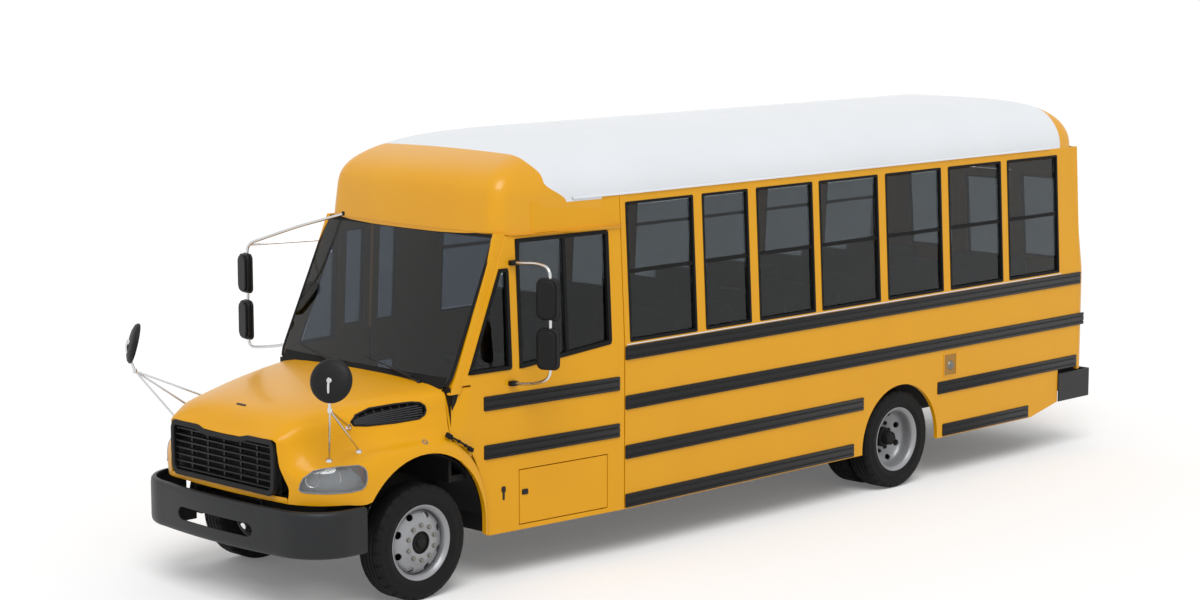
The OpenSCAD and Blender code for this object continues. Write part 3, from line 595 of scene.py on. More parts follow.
def roofLine(user, z, front, rear, half):
    taper = math.tan(math.radians(body["taper"]))
    steps = 7
    points = []
    share = half / body["eaveY"]
    r = user["corner"] * max(share, 0.05)
    rearHalf = half
    for k in range(6):
        t = k / 6
        points.append((rear + user["bow"] * 0.6 * t * t * share, (rearHalf - r) * t, z))
    for k in range(steps + 1):
        a = math.pi / 2 * k / steps
        points.append((rear + user["bow"] * 0.6 * share + r - r * math.cos(a), rearHalf - r + r * math.sin(a),
            z))
    start = points[-1][0]
    frontHalf = half - (front - body["taperX"]) * taper * share if front > body["taperX"] else half
    end = front - user["bow"] * share - r
    for k in range(1, 24):
        x = start + (end - start) * k / 24
        y = half - max(x - body["taperX"], 0) * taper * share
        points.append((x, y, z))
    for k in range(steps + 1):
        a = math.pi / 2 * k / steps
        points.append((end + r * math.sin(a), frontHalf - r + r * math.cos(a), z))
    for k in range(1, 7):
        t = 1 - k / 6
        points.append((front - user["bow"] * t * t * share, (frontHalf - r) * t, z))
    return points


def roofShell(user):
    bm = bmesh.new()
    columns = [throughPoints(column, 3) for column in zip(*(roofLine(user, *line) for line in user["lines"]))]
    addSkin(bm, list(zip(*columns)))
    bmesh.ops.remove_doubles(bm, verts=bm.verts, dist=0.5 * mm)
    mirrorCopy(bm)
    bmesh.ops.recalc_face_normals(bm, faces=bm.faces)
    top = max(bm.faces, key=lambda f: f.calc_center_median().z)
    if top.normal.z < 0:
        bmesh.ops.reverse_faces(bm, faces=bm.faces)
    return bm


# white roof with yellow end caps: one enamel, parted by a masked paint line that dips in an S at the front
def capPaint(name, user):
    material, tree = newMaterial(name)
    place = addNode(tree, "ShaderNodeTexCoord")
    axes = addNode(tree, "ShaderNodeSeparateXYZ", {0: place.outputs["Object"]})
    first = addNode(tree, "ShaderNodeMapRange", {"Value": axes.outputs[2], "From Min": user["dip"][0],
        "From Max": user["dip"][1], "To Min": user["foot"], "To Max": user["shelf"]},
        interpolation_type="SMOOTHSTEP")
    second = addNode(tree, "ShaderNodeMapRange", {"Value": axes.outputs[2], "From Min": user["rise"][0],
        "From Max": user["rise"][1], "To Min": 0.0, "To Max": user["top"] - user["shelf"]},
        interpolation_type="SMOOTHSTEP")
    line = addNode(tree, "ShaderNodeMath", {0: first.outputs[0], 1: second.outputs[0]}, operation="ADD")
    ahead = addNode(tree, "ShaderNodeMath", {0: axes.outputs[0], 1: line.outputs[0]}, operation="SUBTRACT")
    frontMask = addNode(tree, "ShaderNodeMapRange", {"Value": ahead.outputs[0], "From Min": -user["blur"],
        "From Max": user["blur"]})
    rearMask = addNode(tree, "ShaderNodeMapRange", {"Value": axes.outputs[0],
        "From Min": user["rear"] + user["blur"], "From Max": user["rear"] - user["blur"]})
    mask = addNode(tree, "ShaderNodeMath", {0: frontMask.outputs[0], 1: rearMask.outputs[0]},
        operation="MAXIMUM")
    low = addNode(tree, "ShaderNodeMapRange", {"Value": axes.outputs[2],
        "From Min": user["dip"][0] + user["blur"], "From Max": user["dip"][0] - user["blur"]})
    mask = addNode(tree, "ShaderNodeMath", {0: mask.outputs[0], 1: low.outputs[0]}, operation="MAXIMUM")
    haze = addNode(tree, "ShaderNodeTexNoise", {"Vector": place.outputs["Object"], "Scale": 1.6, "Detail": 4.0})
    peel = addNode(tree, "ShaderNodeTexNoise", {"Vector": place.outputs["Object"], "Scale": 1 / (9 * mm),
        "Detail": 2.0})
    white = addNode(tree, "ShaderNodeMix", {0: haze.outputs[0], 6: hexColour("#D9DDE1"),
        7: hexColour("#E2E5E9")}, data_type="RGBA")
    yellow = addNode(tree, "ShaderNodeMix", {0: haze.outputs[0], 6: hexColour("#DA9903"),
        7: hexColour("#E2A205")}, data_type="RGBA")
    tone = addNode(tree, "ShaderNodeMix", {0: mask.outputs[0], 6: white.outputs[2], 7: yellow.outputs[2]},
        data_type="RGBA")
    bump = addNode(tree, "ShaderNodeBump", {"Height": peel.outputs[0], "Strength": 0.05, "Distance": 0.2 * mm})
    skin = addNode(tree, "ShaderNodeBsdfPrincipled", {"Base Color": tone.outputs[2], "Roughness": 0.33,
        "Normal": bump.outputs[0], "Coat Weight": 0.2, "Coat Roughness": 0.06, "IOR": 1.5,
        "Specular IOR Level": 0.35})
    addNode(tree, "ShaderNodeOutputMaterial", {"Surface": skin.outputs[0]})
    return material


twoToneEnamel = capPaint("twoToneCapEnamel", dict(blur=1.5 * mm, foot=2.30, shelf=2.52, top=2.62,
    dip=(3.06, 3.24), rise=(3.28, 3.46), rear=-4.64))


def makeRoof(user):
    bm = roofShell(user)
    cutOpen(bm, user["joint"], keep=-1)
    bmesh.ops.bisect_plane(bm, geom=bm.verts[:] + bm.edges[:] + bm.faces[:], plane_co=(0, 0, body["eaveZ"]),
        plane_no=(0, 0, 1), clear_inner=True)
    piece("roofPanels", bm, twoToneEnamel, "root", replaces=("roof",), wall=0.030, smooth=60)
    # cap over the windshield, with the band it comes down to
    bm = roofShell(user)
    cutOpen(bm, user["joint"], keep=1)
    piece("frontCapShell", bm, twoToneEnamel, "root", replaces=("front_cap",), wall=0.030,
        smooth=60)
    # the thin drip edge along the eave
    bm = bmesh.new()
    d = user["drip"]
    rows = []
    for out, dz in ((0, d["drop"]), (d["out"], d["drop"] * 0.6), (d["out"], 0), (0, -2 * mm)):
        line = []
        for x, y, z in roofLine(user, *user["lines"][3]):
            line.append((x, y, z))
        rows.append([(x, y + out, z + dz) for x, y, z in line if -4.75 < x < 2.5])
    addSkin(bm, rows)
    mirrorCopy(bm)
    piece("eaveDripEdge", bm, busWhite, "root", smooth=40)


def cutOpen(bm, x, keep):
    bmesh.ops.bisect_plane(bm, geom=bm.verts[:] + bm.edges[:] + bm.faces[:], plane_co=(x, 0, 0),
        plane_no=(keep, 0, 0), clear_inner=True)


makeWalls(corner)
makeRoof(roof)
print("body shell made")


# bands over the windshield and the pillars beside it
front = dict(foot=(3.560, 1.665), head=(3.030, 2.825), pillar=0.075, ahead=0.030, bow=0.045, round=0.11,
    edge=0.030, band=0.05)


def sideY(x, z):
    y = body["wallY"] - max(z - body["beltZ"], 0) * lean
    return y - max(x - body["taperX"], 0) * math.tan(math.radians(body["taper"]))


def makePillars(user):
    # pressed sections that run from the cowl to the band
    (fx, fz), (hx, hz) = user["foot"], user["head"]
    for side, word in ((1, "Left"), (-1, "Right")):
        bm = bmesh.new()
        rows = []
        for k in range(9):
            t = k / 8
            x, z = fx + (hx - fx) * t, fz - 0.06 + (hz + 0.09 - fz) * t
            y = sideY(x, z)
            rows.append([(x - user["pillar"] - 0.012, side * (y - 0.001), z),
                (x + 0.012, side * (y - 0.001), z), (x + 0.022, side * (y - 0.004), z),
                (x + 0.024, side * (y - 0.014), z), (x + 0.020, side * (y - 0.044), z),
                (x - 0.02, side * (y - 0.052), z), (x - user["pillar"] - 0.012, side * (y - 0.040), z)])
        lines = addSkin(bm, rows, closed=True)
        for ring in (lines[0], lines[-1]):
            bmesh.ops.contextual_create(bm, geom=ring)
        bmesh.ops.recalc_face_normals(bm, faces=bm.faces)
        piece("windshieldPillar" + word, bm, busYellow, "root", smooth=40)


makePillars(front)

# rubber seals round each window, a split sash bar, and the panes
windows = dict(places=((1.650, 0.820), (0.700, 0.110), (-0.010, -0.770), (-0.870, -1.710), (-1.830, -2.670),
    (-2.790, -3.630), (-3.740, -4.580)), sill=1.835, head=3.010, bar=2.425, barHalf=0.016, seal=0.019,
    lap=0.005, corner=0.016, proud=0.004)


def rectangle(x0, x1, z0, z1):
    return ((x0, z0), (x1, z0), (x1, z1), (x0, z1))


def makeWindows(user):
    for side, turn in (("Left", Matrix.Identity(4)), ("Right", toRight)):
        bm = bmesh.new()
        lap = user["lap"]
        for front0, rear0 in user["places"]:
            addPlate(bm, rectangle(rear0 - lap, front0 + lap, user["sill"] - lap, user["head"] + lap), -0.034,
                user["proud"], corner=user["corner"], frameWidth=user["seal"] + lap, matrix=turn @ onWall,
                steps=5)
            # the slim frame of the sliding upper pane and its latch bar
            addPlate(bm, rectangle(rear0 + user["seal"] - 0.002, front0 - user["seal"] + 0.002,
                user["bar"] - user["barHalf"], user["bar"] + user["barHalf"]), -0.030, -0.006,
                matrix=turn @ onWall)
        piece("windowSeals" + side, bm, sealRubber, "root", bevel=1.8 * mm, smooth=40,
            replaces=("window_sashes",) if side == "Left" else ())
    for node in ("window_glass",):
        nodes[node].data.materials.clear()
        nodes[node].data.materials.append(tintedGlass)
    # the catches of the sliding panes
    for side, turn in (("Left", Matrix.Identity(4)), ("Right", toRight)):
        bm = bmesh.new()
        for front0, rear0 in user["places"]:
            for x in (rear0 + 0.14, front0 - 0.14):
                addBox(bm, (x - 0.022, -0.040, user["bar"] - 0.010), (x + 0.022, -0.029, user["bar"] + 0.010),
                    turn @ onWall)
        piece("windowCatches" + side, bm, satinBlack, "root", bevel=1 * mm)


makeWindows(windows)


def makeFrontGlazing():
    drive = ((0.150, 1.840), (1.155, 1.740), (1.155, 2.800), (0.150, 2.800))
    quarter = ((1.235, 1.745), (1.690, 1.745), (1.335, 2.570), (1.235, 2.570))
    shear = frontSide @ onWall
    bm = bmesh.new()
    addPlate(bm, drive, -0.034, 0.006, corner=0.035, frameWidth=0.034, matrix=shear, steps=5)
    addPlate(bm, rectangle(0.618, 0.650, 1.80, 2.775), -0.030, -0.004, matrix=shear)
    addPlate(bm, quarter, -0.034, 0.006, corner=0.030, frameWidth=0.030, matrix=shear, steps=5)
    addPlate(bm, quarter, -0.034, 0.006, corner=0.030, frameWidth=0.030, matrix=toRight @ shear, steps=5)
    piece("frontSideSeals", bm, sealRubber, "root", bevel=1.8 * mm, smooth=40)


makeFrontGlazing()


def makeWindshield(user):
    # one bowed sheet across the whole front, rounded at its lower corners, with a black bonded edge
    (fx, fz), (hx, hz) = user["foot"], user["head"]
    slope = (hx - fx) / (hz - fz)

    def sheet(out):
        bm = bmesh.new()
        rows = []
        for k in range(25):
            z = fz - 0.028 + (hz - fz + 0.050) * k / 24
            x = fx + slope * (z - fz) + user["ahead"]
            half = sideY(x, z) - 0.006
            low = max(0, 1 - (z - fz + 0.028) / user["round"])
            half -= user["round"] * (1 - math.sqrt(max(1 - low * low, 0))) if low else 0
            rows.append([(x + user["bow"] * (1 - (half * t) ** 2 / 1.1) + out, half * t, z)
                for t in (i / 20 - 1 for i in range(41))])
        addSkin(bm, rows)
        bmesh.ops.recalc_face_normals(bm, faces=bm.faces)
        if sum(f.normal.x for f in bm.faces) < 0:
            bmesh.ops.reverse_faces(bm, faces=bm.faces)
        return bm

    bm = sheet(0)
    bmesh.ops.solidify(bm, geom=bm.faces[:], thickness=0.006)
    piece("windshieldPane", bm, shieldGlass, "root", replaces=("windshield",), smooth=50)
    bm = sheet(0.001)
    ring = bmesh.ops.inset_region(bm, faces=bm.faces[:], thickness=user["edge"], use_boundary=True,
        use_even_offset=True)["faces"]
    band = [f for f in bm.faces if f not in ring and f.calc_center_median().z > fz + user["band"]]
    bmesh.ops.delete(bm, geom=band, context="FACES")
    bmesh.ops.solidify(bm, geom=bm.faces[:], thickness=0.004)
    piece("windshieldEdge", bm, sealRubber, "root", smooth=50)


makeWindshield(front)


# wipers: black arms and blades parked along the foot of the glass
wiper = dict(pivots=(-0.560, 0.340), blade=((-0.30, 0.105), (0.32, 0.015)), lift=0.012)


def makeWipers(user):
    (fx, fz), (hx, hz) = front["foot"], front["head"]

    def onGlass(y, z, out):
        x = fx + (hx - fx) / (hz - fz) * (z - fz) + front["ahead"] + front["bow"] * (1 - y * y / 1.1)
        return Vector((x + out, y, z + out * 0.4))

    bm = bmesh.new()
    for y in user["pivots"]:
        (b0, h0), (b1, h1) = user["blade"]
        blade = [onGlass(y + b0 + (b1 - b0) * t, 1.695 + h0 + (h1 - h0) * t, user["lift"])
            for t in (0, 0.25, 0.5, 0.75, 1)]
        addTube(bm, blade, 0.006, steps=8)
        addTube(bm, [p + Vector((0.012, 0, 0.006)) for p in blade[1:4]], 0.004, steps=8)
        addTube(bm, [onGlass(y + 0.42, 1.672, 0.020), onGlass(y + 0.25, 1.712, 0.034),
            blade[2] + Vector((0.016, 0, 0.006))], 0.007, bend=0.08, steps=8)
        addTurned(bm, ((0, 0.030), (0.014, 0.028), (0.018, 0.020), (0.020, 0.0)),
            Matrix.Translation(onGlass(y + 0.42, 1.670, 0.004)) @ Matrix.Rotation(math.radians(60), 4, "Y"),
            steps=20)
    piece("windshieldWipers", bm, satinBlack, "root", smooth=50, replaces=("wipers",))


makeWipers(wiper)

# rub rails: rolled steel with three ribs, painted black, with capped ends
rails = dict(profile=((0, -1), (0.010, -0.98), (0.014, -0.90), (0.014, -0.62), (0.007, -0.55), (0.007, -0.38),
    (0.014, -0.30), (0.014, 0.30), (0.007, 0.38), (0.007, 0.55), (0.014, 0.62), (0.014, 0.90), (0.010, 0.98),
    (0, 1)), side=((1.682, 1.802, -4.960, 1.715), (1.256, 1.378, -5.030, 1.715), (0.831, 0.951, -1.480, 1.715),
    (0.831, 0.951, -4.920, -2.600), (0.410, 0.530, -1.345, 1.715), (0.410, 0.530, -4.100, -2.690)),
    front=((1.432, 1.552, 0.060, 1.530), (1.032, 1.152, 0.060, 1.530)))


def addRail(bm, z0, z1, x0, x1, matrix):
    middle, half = (z0 + z1) / 2, (z1 - z0) / 2
    rows = []
    for x, size, depth in ((x0, 0.86, 0.05), (x0 + 0.004, 0.93, 0.6), (x0 + 0.014, 1, 1), (x1 - 0.014, 1, 1),
            (x1 - 0.004, 0.93, 0.6), (x1, 0.86, 0.05)):
        rows.append([(x, y * depth, middle + z * half * size) for y, z in ribProfile])
    part = bmesh.new()
    lines = addSkin(part, rows)
    for ring in (lines[0], lines[-1]):
        part.faces.new([ring[0].verts[0]] + [e.verts[1] for e in ring])
    bmesh.ops.recalc_face_normals(part, faces=part.faces)
    outside = max(part.faces, key=lambda f: f.calc_area())
    if outside.normal.y < 0:
        bmesh.ops.reverse_faces(part, faces=part.faces)
    bmesh.ops.transform(part, matrix=matrix, verts=part.verts)
    if matrix.determinant() < 0:
        bmesh.ops.reverse_faces(part, faces=part.faces)
    merge(bm, part)


ribProfile = rails["profile"]


def makeRails(user):
    bm = bmesh.new()
    for turn in (Matrix.Identity(4), toRight):
        for z0, z1, x0, x1 in user["side"]:
            addRail(bm, z0, z1, x0, x1, turn @ onSide)
        for z0, z1, x0, x1 in user["front"]:
            if turn == toRight:
                addRail(bm, z0, z1, x0, 0.42, turn @ frontSide @ onSide)
                addRail(bm, z0, z1, 1.23, x1, turn @ frontSide @ onSide)
            else:
                addRail(bm, z0, z1, x0, x1, turn @ frontSide @ onSide)
    piece("rubRails", bm, satinBlack, "root", replaces=("rub_rails",), smooth=30)


makeRails(rails)


# pale sill strip under the windows, filler recess as a proud plate in darker yellow that is painted shade, key plate
# beside the hatch
def makeSideTrim():
    bm = bmesh.new()
    for turn in (Matrix.Identity(4), toRight):
        addBox(bm, (-4.620, body["wallY"] - 0.004, 1.8085), (1.690, body["wallY"] + 0.004, 1.8175), turn)
    piece("sillStrips", bm, busWhite, "root", bevel=1 * mm)
    bm = bmesh.new()
    addPlate(bm, rectangle(-2.900, -2.690, 0.990, 1.215), -0.002, 0.005, corner=0.012, frameWidth=0.012,
        matrix=onSide)
    piece("fillerFrame", bm, busYellow, "root", bevel=1.5 * mm)
    bm = bmesh.new()
    # the recess is not cut: this proud plate is a darker yellow than the body, and that darker tone is painted shade
    # of the recess
    addPlate(bm, rectangle(-2.888, -2.702, 1.002, 1.203), -0.002, 0.0015, matrix=onSide)
    piece("fillerRecessPaintedShade", bm, mottled("paintedShadeYellowEnamel", dict(deep="#96690A", light="#A4740F", grain=9,
        depth=0.05, rough=(0.4, 0.5))), "root")
    bm = bmesh.new()
    place = Matrix.Translation((-2.800, body["wallY"] + 0.001, 1.095)) @ Matrix.Rotation(math.radians(-90), 4,
        "X")
    addTurned(bm, ((0, 0.016), (0.030, 0.016), (0.038, 0.012), (0.042, 0.004), (0.046, 0.0)), place, steps=32)
    addBox(bm, (-0.032, -0.005, 0.014), (0.032, 0.005, 0.021), place, bevel=2 * mm)
    piece("fillerCap", bm, bareSteel, "root", smooth=40)
    bm = bmesh.new()
    s = (3.040 - body["taperX"]) / math.cos(math.radians(body["taper"]))
    lay = frontSide @ onSide
    addPlate(bm, rectangle(s - 0.022, s + 0.022, 0.735, 0.790), -0.002, 0.005, corner=0.020, matrix=lay)
    addPlate(bm, rectangle(s - 0.010, s + 0.010, 0.675, 0.745), -0.002, 0.005, corner=0.008, matrix=lay)
    piece("keyPlate", bm, satinBlack, "root", bevel=1.5 * mm)


makeSideTrim()
print("glazing and rails made")


wheel = dict(frontX=3.930, rearX=-2.040, z=0.468, frontY=1.005, innerY=0.756, outerY=1.062, tyre=0.468,
             # radius and half-side height of the tyre's outside, from the bead to the middle of the tread
             side=((0.288, 0.096), (0.300, 0.110), (0.312, 0.113), (0.322, 0.117), (0.345, 0.124), (0.352, 0.1265),
                   (0.372, 0.127), (0.376, 0.1250), (0.400, 0.126), (0.418, 0.1235), (0.424, 0.1245), (0.436, 0.119),
                   (0.452, 0.111), (0.461, 0.104), (0.466, 0.094)),
             grooves=(0.062, 0.022), grooveWidth=0.009, grooveDepth=0.012, lugs=56)


def onAxle(x, y, side):
    return Matrix.Translation((x, side * y, wheel["z"])) @ Matrix.Rotation(math.radians(-90 * side), 4, "X")


def tyreProfile(user):
    tread = []
    w, d = user["grooveWidth"] / 2, user["grooveDepth"]
    for h in user["grooves"]:
        tread += [(user["tyre"], h + w + 0.0015), (user["tyre"] - d, h + w - 0.001),
            (user["tyre"] - d, h - w + 0.001), (user["tyre"], h - w - 0.0015)]
    upper = list(user["side"]) + [(user["tyre"], 0.088)] + tread
    return upper + [(r, -h) for r, h in reversed(upper)]


def addTyre(bm, matrix, user):
    part = bmesh.new()
    addTurned(part, tyreProfile(user), Matrix.Identity(4), steps=user["lugs"] * 2)
    # open shoulder blocks: every other step of the shoulder is cut back
    step = math.tau / (user["lugs"] * 2)
    picked = []
    for f in part.faces:
        c = f.calc_center_median()
        r, a = math.hypot(c.x, c.y), math.atan2(c.y, c.x) % math.tau
        if r > 0.44 and 0.076 < abs(c.z) < 0.118 and int(a / step) % 4 == 0:
            picked.append(f)
    bmesh.ops.inset_individual(part, faces=picked, thickness=0.0015, depth=-0.003)
    bmesh.ops.transform(part, matrix=matrix, verts=part.verts)
    if matrix.determinant() < 0:
        bmesh.ops.reverse_faces(part, faces=part.faces)
    merge(bm, part)


# a steel disc wheel; the profile runs from the hub hole out to the barrel
disc = dict(face=((0.092, 0.106), (0.098, 0.1085), (0.125, 0.1085), (0.158, 0.1065), (0.172, 0.100),
    (0.186, 0.092), (0.201, 0.085), (0.217, 0.078), (0.232, 0.070), (0.247, 0.059), (0.260, 0.044),
    (0.268, 0.024), (0.272, -0.004)), barrel=((0.270, -0.060), (0.276, -0.018), (0.274, 0.030), (0.270, 0.060),
    (0.272, 0.086), (0.279, 0.097), (0.286, 0.102), (0.291, 0.110), (0.300, 0.1145), (0.305, 0.112),
    (0.304, 0.107)), hands=8, hand=(0.226, 0.025, 0.032), nuts=10, nutRing=0.1425, nut=0.0165, nutTall=0.022)


def addDisc(bm, matrix, user, face):
    part = bmesh.new()
    addTurned(part, face, Matrix.Identity(4), steps=64)
    r, deep, wide = user["hand"]
    for k in range(user["hands"]):
        a = math.tau * (k + 0.5) / user["hands"]
        along, across = Vector((math.cos(a), math.sin(a), 0)), Vector((-math.sin(a), math.cos(a), 0))
        ring = [(deep * math.cos(t), wide * math.sin(t)) for t in (math.tau * i / 14 for i in range(14))]
        cutOpening(part, along * r, along, across, ring, reach=0.022).free()
    made = bmesh.ops.extrude_face_region(part, geom=part.faces[:])["geom"]
    bmesh.ops.translate(part, vec=(0, 0, -0.009), verts=[g for g in made if isinstance(g, bmesh.types.BMVert)])
    bmesh.ops.recalc_face_normals(part, faces=part.faces)
    bmesh.ops.transform(part, matrix=matrix, verts=part.verts)
    if matrix.determinant() < 0:
        bmesh.ops.reverse_faces(part, faces=part.faces)
    merge(bm, part)


def addNuts(bm, matrix, user, height):
    for k in range(user["nuts"]):
        a = math.tau * (k + 0.5) / user["nuts"]
        place = matrix @ Matrix.Translation((user["nutRing"] * math.cos(a), user["nutRing"] * math.sin(a),
            height))
        addTurned(bm, ((0.0, user["nutTall"]), (user["nut"] * 0.55, user["nutTall"]),
            (user["nut"], user["nutTall"] * 0.8), (user["nut"], 0.004), (user["nut"] * 1.35, 0.003),
            (user["nut"] * 1.35, 0)), place, steps=6)


def makeWheels(user):
    flip = Matrix.Scale(-1, 4, (0, 0, 1))
    for side, word in ((1, "left"), (-1, "right")):
        bm = bmesh.new()
        addTyre(bm, onAxle(user["frontX"], user["frontY"], side), user)
        piece("frontTyre_" + word, bm, tyreRubber, "wheel_front_" + word, smooth=32,
            replaces=("tyre_front_" + word,))
        bm = bmesh.new()
        for y in (user["innerY"], user["outerY"]):
            addTyre(bm, onAxle(user["rearX"], y, side), user)
        piece("rearTyres_" + word, bm, tyreRubber, "wheels_rear_" + word, smooth=32,
            replaces=("tyres_rear_" + word,))
        # front: convex disc, hub and grease cap in the middle
        place = onAxle(user["frontX"], user["frontY"], side)
        bm = bmesh.new()
        addDisc(bm, place, disc, disc["face"])
        addTurned(bm, disc["barrel"] + tuple((r - 0.006, h - 0.004) for r, h in reversed(disc["barrel"][:-1])),
            place, steps=72, closed=True)
        addTurned(bm, [(r, -h) for r, h in disc["barrel"][2:]], place, steps=72)
        piece("frontRim_" + word, bm, wheelSilver, "wheel_front_" + word, smooth=40,
            replaces=("rim_front_" + word,))
        bm = bmesh.new()
        addNuts(bm, place, disc, 0.108)
        piece("frontNuts_" + word, bm, bareSteel, "wheel_front_" + word, smooth=30, bevel=1 * mm)
        bm = bmesh.new()
        addTurned(bm, ((0, 0.122), (0.030, 0.122), (0.038, 0.118), (0.042, 0.112), (0.042, 0.098),
            (0.066, 0.094), (0.070, 0.088), (0.092, 0.086), (0.092, 0.02)), place, steps=40)
        addTurned(bm, ((0.205, -0.080), (0.205, 0.0), (0.10, 0.012)), place, steps=40)
        piece("frontHub_" + word, bm, chassisBlack, "wheel_front_" + word, smooth=35)
        # rear: deep dished disc, its face turned inwards
        place = onAxle(user["rearX"], user["outerY"], side)
        bm = bmesh.new()
        addDisc(bm, place @ flip, disc, disc["face"])
        addTurned(bm, disc["barrel"] + tuple((r - 0.006, h - 0.004) for r, h in reversed(disc["barrel"][:-1])),
            place, steps=72, closed=True)
        addTurned(bm, [(r, -h) for r, h in disc["barrel"][2:]], place, steps=72)
        inner = onAxle(user["rearX"], user["innerY"], side)
        addDisc(bm, inner, disc, disc["face"])
        addTurned(bm, disc["barrel"], inner, steps=72)
        addTurned(bm, [(r, -h) for r, h in disc["barrel"][2:]], inner, steps=72)
        piece("rearRims_" + word, bm, wheelSilver, "wheels_rear_" + word, smooth=40,
            replaces=("rims_rear_" + word,))
        bm = bmesh.new()
        addNuts(bm, place, disc, -0.099)
        addTurned(bm, ((0, 0.052), (0.050, 0.052), (0.062, 0.046), (0.066, 0.036), (0.066, -0.02),
            (0.088, -0.026), (0.094, -0.040), (0.094, -0.110)), place, steps=40)
        for k in range(8):
            a = math.tau * k / 8
            addTurned(bm, ((0, 0.058), (0.008, 0.058), (0.008, 0.050)),
                place @ Matrix.Translation((0.050 * math.cos(a), 0.050 * math.sin(a), 0)), steps=6)
        piece("rearHub_" + word, bm, chassisBlack, "wheels_rear_" + word, smooth=35)


makeWheels(wheel)
print("wheels made")

# one moulded hood drawn along its feature lines, front to rear; the last three run on down behind the wheel
hood = dict(centre=((5.030, 0, 1.355), (5.000, 0, 1.400), (4.940, 0, 1.485), (4.830, 0, 1.555),
    (4.600, 0, 1.605), (4.250, 0, 1.645), (3.900, 0, 1.680), (3.600, 0, 1.700)),
    bulge=((5.029, 0.30, 1.362), (4.999, 0.31, 1.402), (4.938, 0.33, 1.484), (4.828, 0.36, 1.550),
    (4.600, 0.40, 1.599), (4.250, 0.44, 1.638), (3.900, 0.47, 1.672), (3.600, 0.50, 1.692)),
    crease=((5.025, 0.640, 1.385), (5.000, 0.655, 1.410), (4.930, 0.680, 1.445), (4.820, 0.710, 1.490),
    (4.600, 0.760, 1.530), (4.250, 0.850, 1.580), (3.900, 0.930, 1.620), (3.600, 0.990, 1.645)),
    flank=((5.015, 0.675, 1.300), (4.990, 0.700, 1.310), (4.920, 0.745, 1.320), (4.800, 0.790, 1.330),
    (4.600, 0.845, 1.350), (4.250, 0.925, 1.400), (3.900, 1.000, 1.450), (3.600, 1.050, 1.500)),
    valley=((5.005, 0.690, 1.180), (4.980, 0.730, 1.190), (4.910, 0.800, 1.210), (4.800, 0.870, 1.225),
    (4.600, 0.930, 1.245), (4.250, 1.000, 1.290), (3.900, 1.050, 1.320), (3.600, 1.075, 1.350)),
    fender=((4.985, 0.730, 1.080), (4.950, 0.820, 1.100), (4.860, 0.930, 1.130), (4.740, 1.010, 1.160),
    (4.550, 1.070, 1.190), (4.250, 1.120, 1.240), (3.900, 1.135, 1.255), (3.600, 1.125, 1.240),
    (3.490, 1.125, 1.170), (3.375, 1.128, 1.050), (3.290, 1.130, 0.900), (3.235, 1.132, 0.710),
    (3.225, 1.132, 0.425)), middle=((4.970, 0.760, 1.000), (4.930, 0.860, 1.000), (4.850, 0.970, 1.010),
    (4.710, 1.070, 1.030), (4.520, 1.130, 1.050), (4.250, 1.155, 1.150), (3.900, 1.164, 1.215),
    (3.600, 1.155, 1.170), (3.495, 1.155, 1.105), (3.388, 1.155, 0.990), (3.305, 1.155, 0.845),
    (3.255, 1.155, 0.665), (3.247, 1.155, 0.425)), lower=((4.975, 0.745, 0.890), (4.930, 0.845, 0.888),
    (4.830, 0.975, 0.886), (4.680, 1.080, 0.886), (4.455, 1.145, 0.886), (4.250, 1.162, 1.092),
    (3.900, 1.168, 1.190), (3.600, 1.165, 1.110), (3.500, 1.163, 1.040), (3.400, 1.162, 0.935),
    (3.320, 1.160, 0.790), (3.275, 1.160, 0.620), (3.270, 1.160, 0.425)), archCentre=(3.910, 0.550),
    archR=0.640, along=5, across=3)


def hoodSkin(user):
    names = ("centre", "bulge", "crease", "flank", "valley", "fender", "middle", "lower")
    lines = [throughPoints(user[n], user["along"]) for n in names]
    cx, cz = user["archCentre"]
    for p in lines[-1]:
        if 3.56 < p.x < 4.46:
            p.z = cz + math.sqrt(user["archR"] ** 2 - (p.x - cx) ** 2)
    short, full = len(lines[0]), len(lines[-1])
    bm = bmesh.new()
    sections = [throughPoints([line[i] for line in lines], user["across"]) for i in range(short)]
    addSkin(bm, sections)
    tail = user["across"] * 2 + 1
    rows = [sections[-1][-tail:]] + [throughPoints([line[i] for line in lines[-3:]], user["across"])
        for i in range(short, full)]
    addSkin(bm, rows)
    # return lip of the wheel arch, turned in towards the tyre
    edge = lines[-1][user["along"] * 4:]
    addSkin(bm, [edge, [p + Vector((0, -0.012, 0.004)) for p in edge],
        [p + Vector((0, -0.045, 0.010)) for p in edge]])
    # chin below the grille
    chin = [(Vector((5.012 - 0.037 * t * t, 0.745 * t, 0.890))) for t in (k / 8 for k in range(9))]
    addSkin(bm, [chin, [p + Vector((0.004, 0, 0.022)) for p in chin],
        [p + Vector((0.0, -0.02 * (p.y / 0.745), 0.045)) for p in chin]])
    bmesh.ops.remove_doubles(bm, verts=bm.verts, dist=0.3 * mm)
    bmesh.ops.recalc_face_normals(bm, faces=bm.faces)
    top = max(bm.faces, key=lambda f: f.calc_center_median().z)
    if top.normal.z < 0:
        bmesh.ops.reverse_faces(bm, faces=bm.faces)
    return bm


